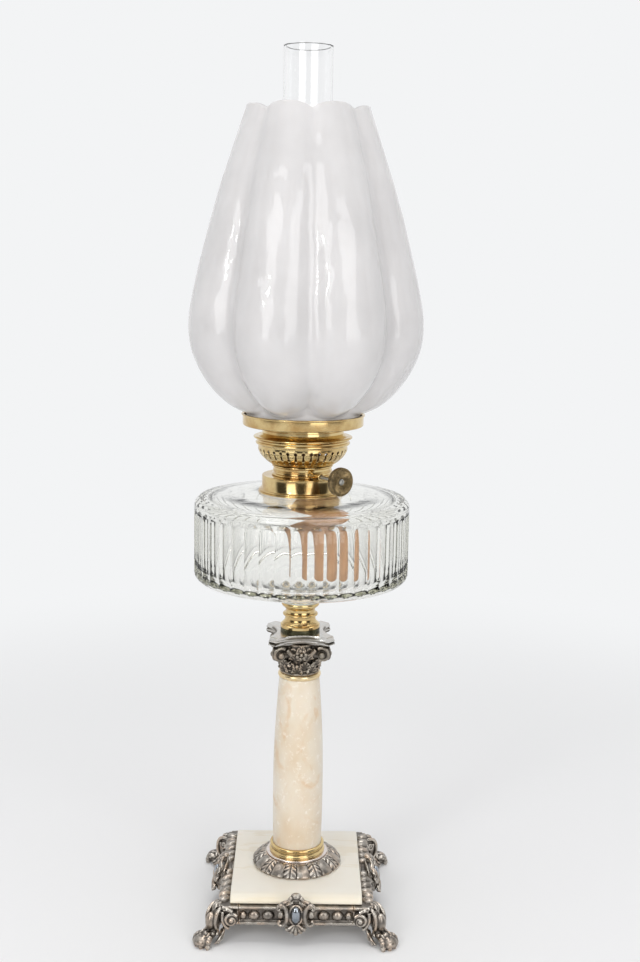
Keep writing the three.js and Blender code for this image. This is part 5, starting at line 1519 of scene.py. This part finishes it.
class LAMP_OT_foot_ring(bpy.types.Operator):
    """Builds the cast ring of leaves on the slab"""

    bl_idname = "lamp.foot_ring"
    bl_label = "Leaf ring"

    def execute(self, context):
        make_foot_ring()
        return {"FINISHED"}


class LAMP_OT_stand_rings(bpy.types.Operator):
    """Builds the turned metal of the stand"""

    bl_idname = "lamp.stand_rings"
    bl_label = "Turned rings"

    def execute(self, context):
        make_stand_rings()
        return {"FINISHED"}


class LAMP_OT_column(bpy.types.Operator):
    """Builds the alabaster column"""

    bl_idname = "lamp.column"
    bl_label = "Column"

    def execute(self, context):
        make_column()
        return {"FINISHED"}


class LAMP_OT_capital(bpy.types.Operator):
    """Builds the leaf capital and its abacus"""

    bl_idname = "lamp.capital"
    bl_label = "Capital"

    def execute(self, context):
        make_capital()
        make_abacus()
        return {"FINISHED"}


class LAMP_OT_font(bpy.types.Operator):
    """Builds the fluted glass font and its collar"""

    bl_idname = "lamp.font"
    bl_label = "Oil font"

    def execute(self, context):
        make_font()
        make_collar()
        return {"FINISHED"}


class LAMP_OT_burner(bpy.types.Operator):
    """Builds the burner's neck and its air basket"""

    bl_idname = "lamp.burner"
    bl_label = "Burner"

    def execute(self, context):
        make_burner_neck()
        make_basket()
        return {"FINISHED"}


class LAMP_OT_winder(bpy.types.Operator):
    """Builds the wick winder: spindle, knob and screw"""

    bl_idname = "lamp.winder"
    bl_label = "Winder"

    def execute(self, context):
        make_winder()
        return {"FINISHED"}


class LAMP_OT_wick(bpy.types.Operator):
    """Builds the woven cotton wick"""

    bl_idname = "lamp.wick"
    bl_label = "Wick"

    def execute(self, context):
        make_wick()
        return {"FINISHED"}


class LAMP_OT_gallery(bpy.types.Operator):
    """Builds the skirt and the ring that holds the shade"""

    bl_idname = "lamp.gallery"
    bl_label = "Gallery"

    def execute(self, context):
        make_gallery()
        return {"FINISHED"}


class LAMP_OT_chimney(bpy.types.Operator):
    """Builds the clear glass chimney"""

    bl_idname = "lamp.chimney"
    bl_label = "Chimney"

    def execute(self, context):
        make_chimney()
        return {"FINISHED"}


class LAMP_OT_shade(bpy.types.Operator):
    """Builds the melon shaped glass shade"""

    bl_idname = "lamp.shade"
    bl_label = "Shade"

    def execute(self, context):
        make_shade()
        return {"FINISHED"}


class LAMP_OT_fittings(bpy.types.Operator):
    """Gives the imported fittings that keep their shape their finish"""

    bl_idname = "lamp.fittings"
    bl_label = "Plain fittings"

    def execute(self, context):
        finish_kept_pieces()
        return {"FINISHED"}


class LAMP_OT_stage(bpy.types.Operator):
    """Builds the floor, the lights and the camera"""

    bl_idname = "lamp.stage"
    bl_label = "Studio stage"

    def execute(self, context):
        make_stage()
        return {"FINISHED"}


OPERATORS = [
    LAMP_OT_slab, LAMP_OT_rails, LAMP_OT_feet, LAMP_OT_foot_ring, LAMP_OT_stand_rings,
    LAMP_OT_column, LAMP_OT_capital, LAMP_OT_font, LAMP_OT_burner, LAMP_OT_winder, LAMP_OT_wick,
    LAMP_OT_gallery, LAMP_OT_chimney, LAMP_OT_shade, LAMP_OT_fittings, LAMP_OT_stage,
]


class LAMP_PT_sidebar(bpy.types.Panel):
    """Lists the sizes and the pieces of the lamp"""

    bl_label = "Kerosene table lamp"
    bl_idname = "LAMP_PT_sidebar"
    bl_space_type = "VIEW_3D"
    bl_region_type = "UI"
    bl_category = "Lamp"

    def draw(self, context):
        for key in LampSizes.__annotations__:
            self.layout.prop(context.scene.lamp_sizes, key)
        for operator in OPERATORS:
            self.layout.operator(operator.bl_idname)


def register():
    for kind in (LampSizes, *OPERATORS, LAMP_PT_sidebar):
        bpy.utils.register_class(kind)
    bpy.types.Scene.lamp_sizes = bpy.props.PointerProperty(type=LampSizes)


def unregister():
    del bpy.types.Scene.lamp_sizes
    for kind in (LAMP_PT_sidebar, *reversed(OPERATORS), LampSizes):
        bpy.utils.unregister_class(kind)


def main():
    register()
    bpy.ops.lamp.slab()
    bpy.ops.lamp.rails()
    bpy.ops.lamp.feet()
    bpy.ops.lamp.foot_ring()
    bpy.ops.lamp.stand_rings()
    bpy.ops.lamp.column()
    bpy.ops.lamp.capital()
    bpy.ops.lamp.font()
    bpy.ops.lamp.burner()
    bpy.ops.lamp.winder()
    bpy.ops.lamp.wick()
    bpy.ops.lamp.gallery()
    bpy.ops.lamp.chimney()
    bpy.ops.lamp.shade()
    bpy.ops.lamp.fittings()
    bpy.ops.lamp.stage()


if __name__ == "__main__":
    main()
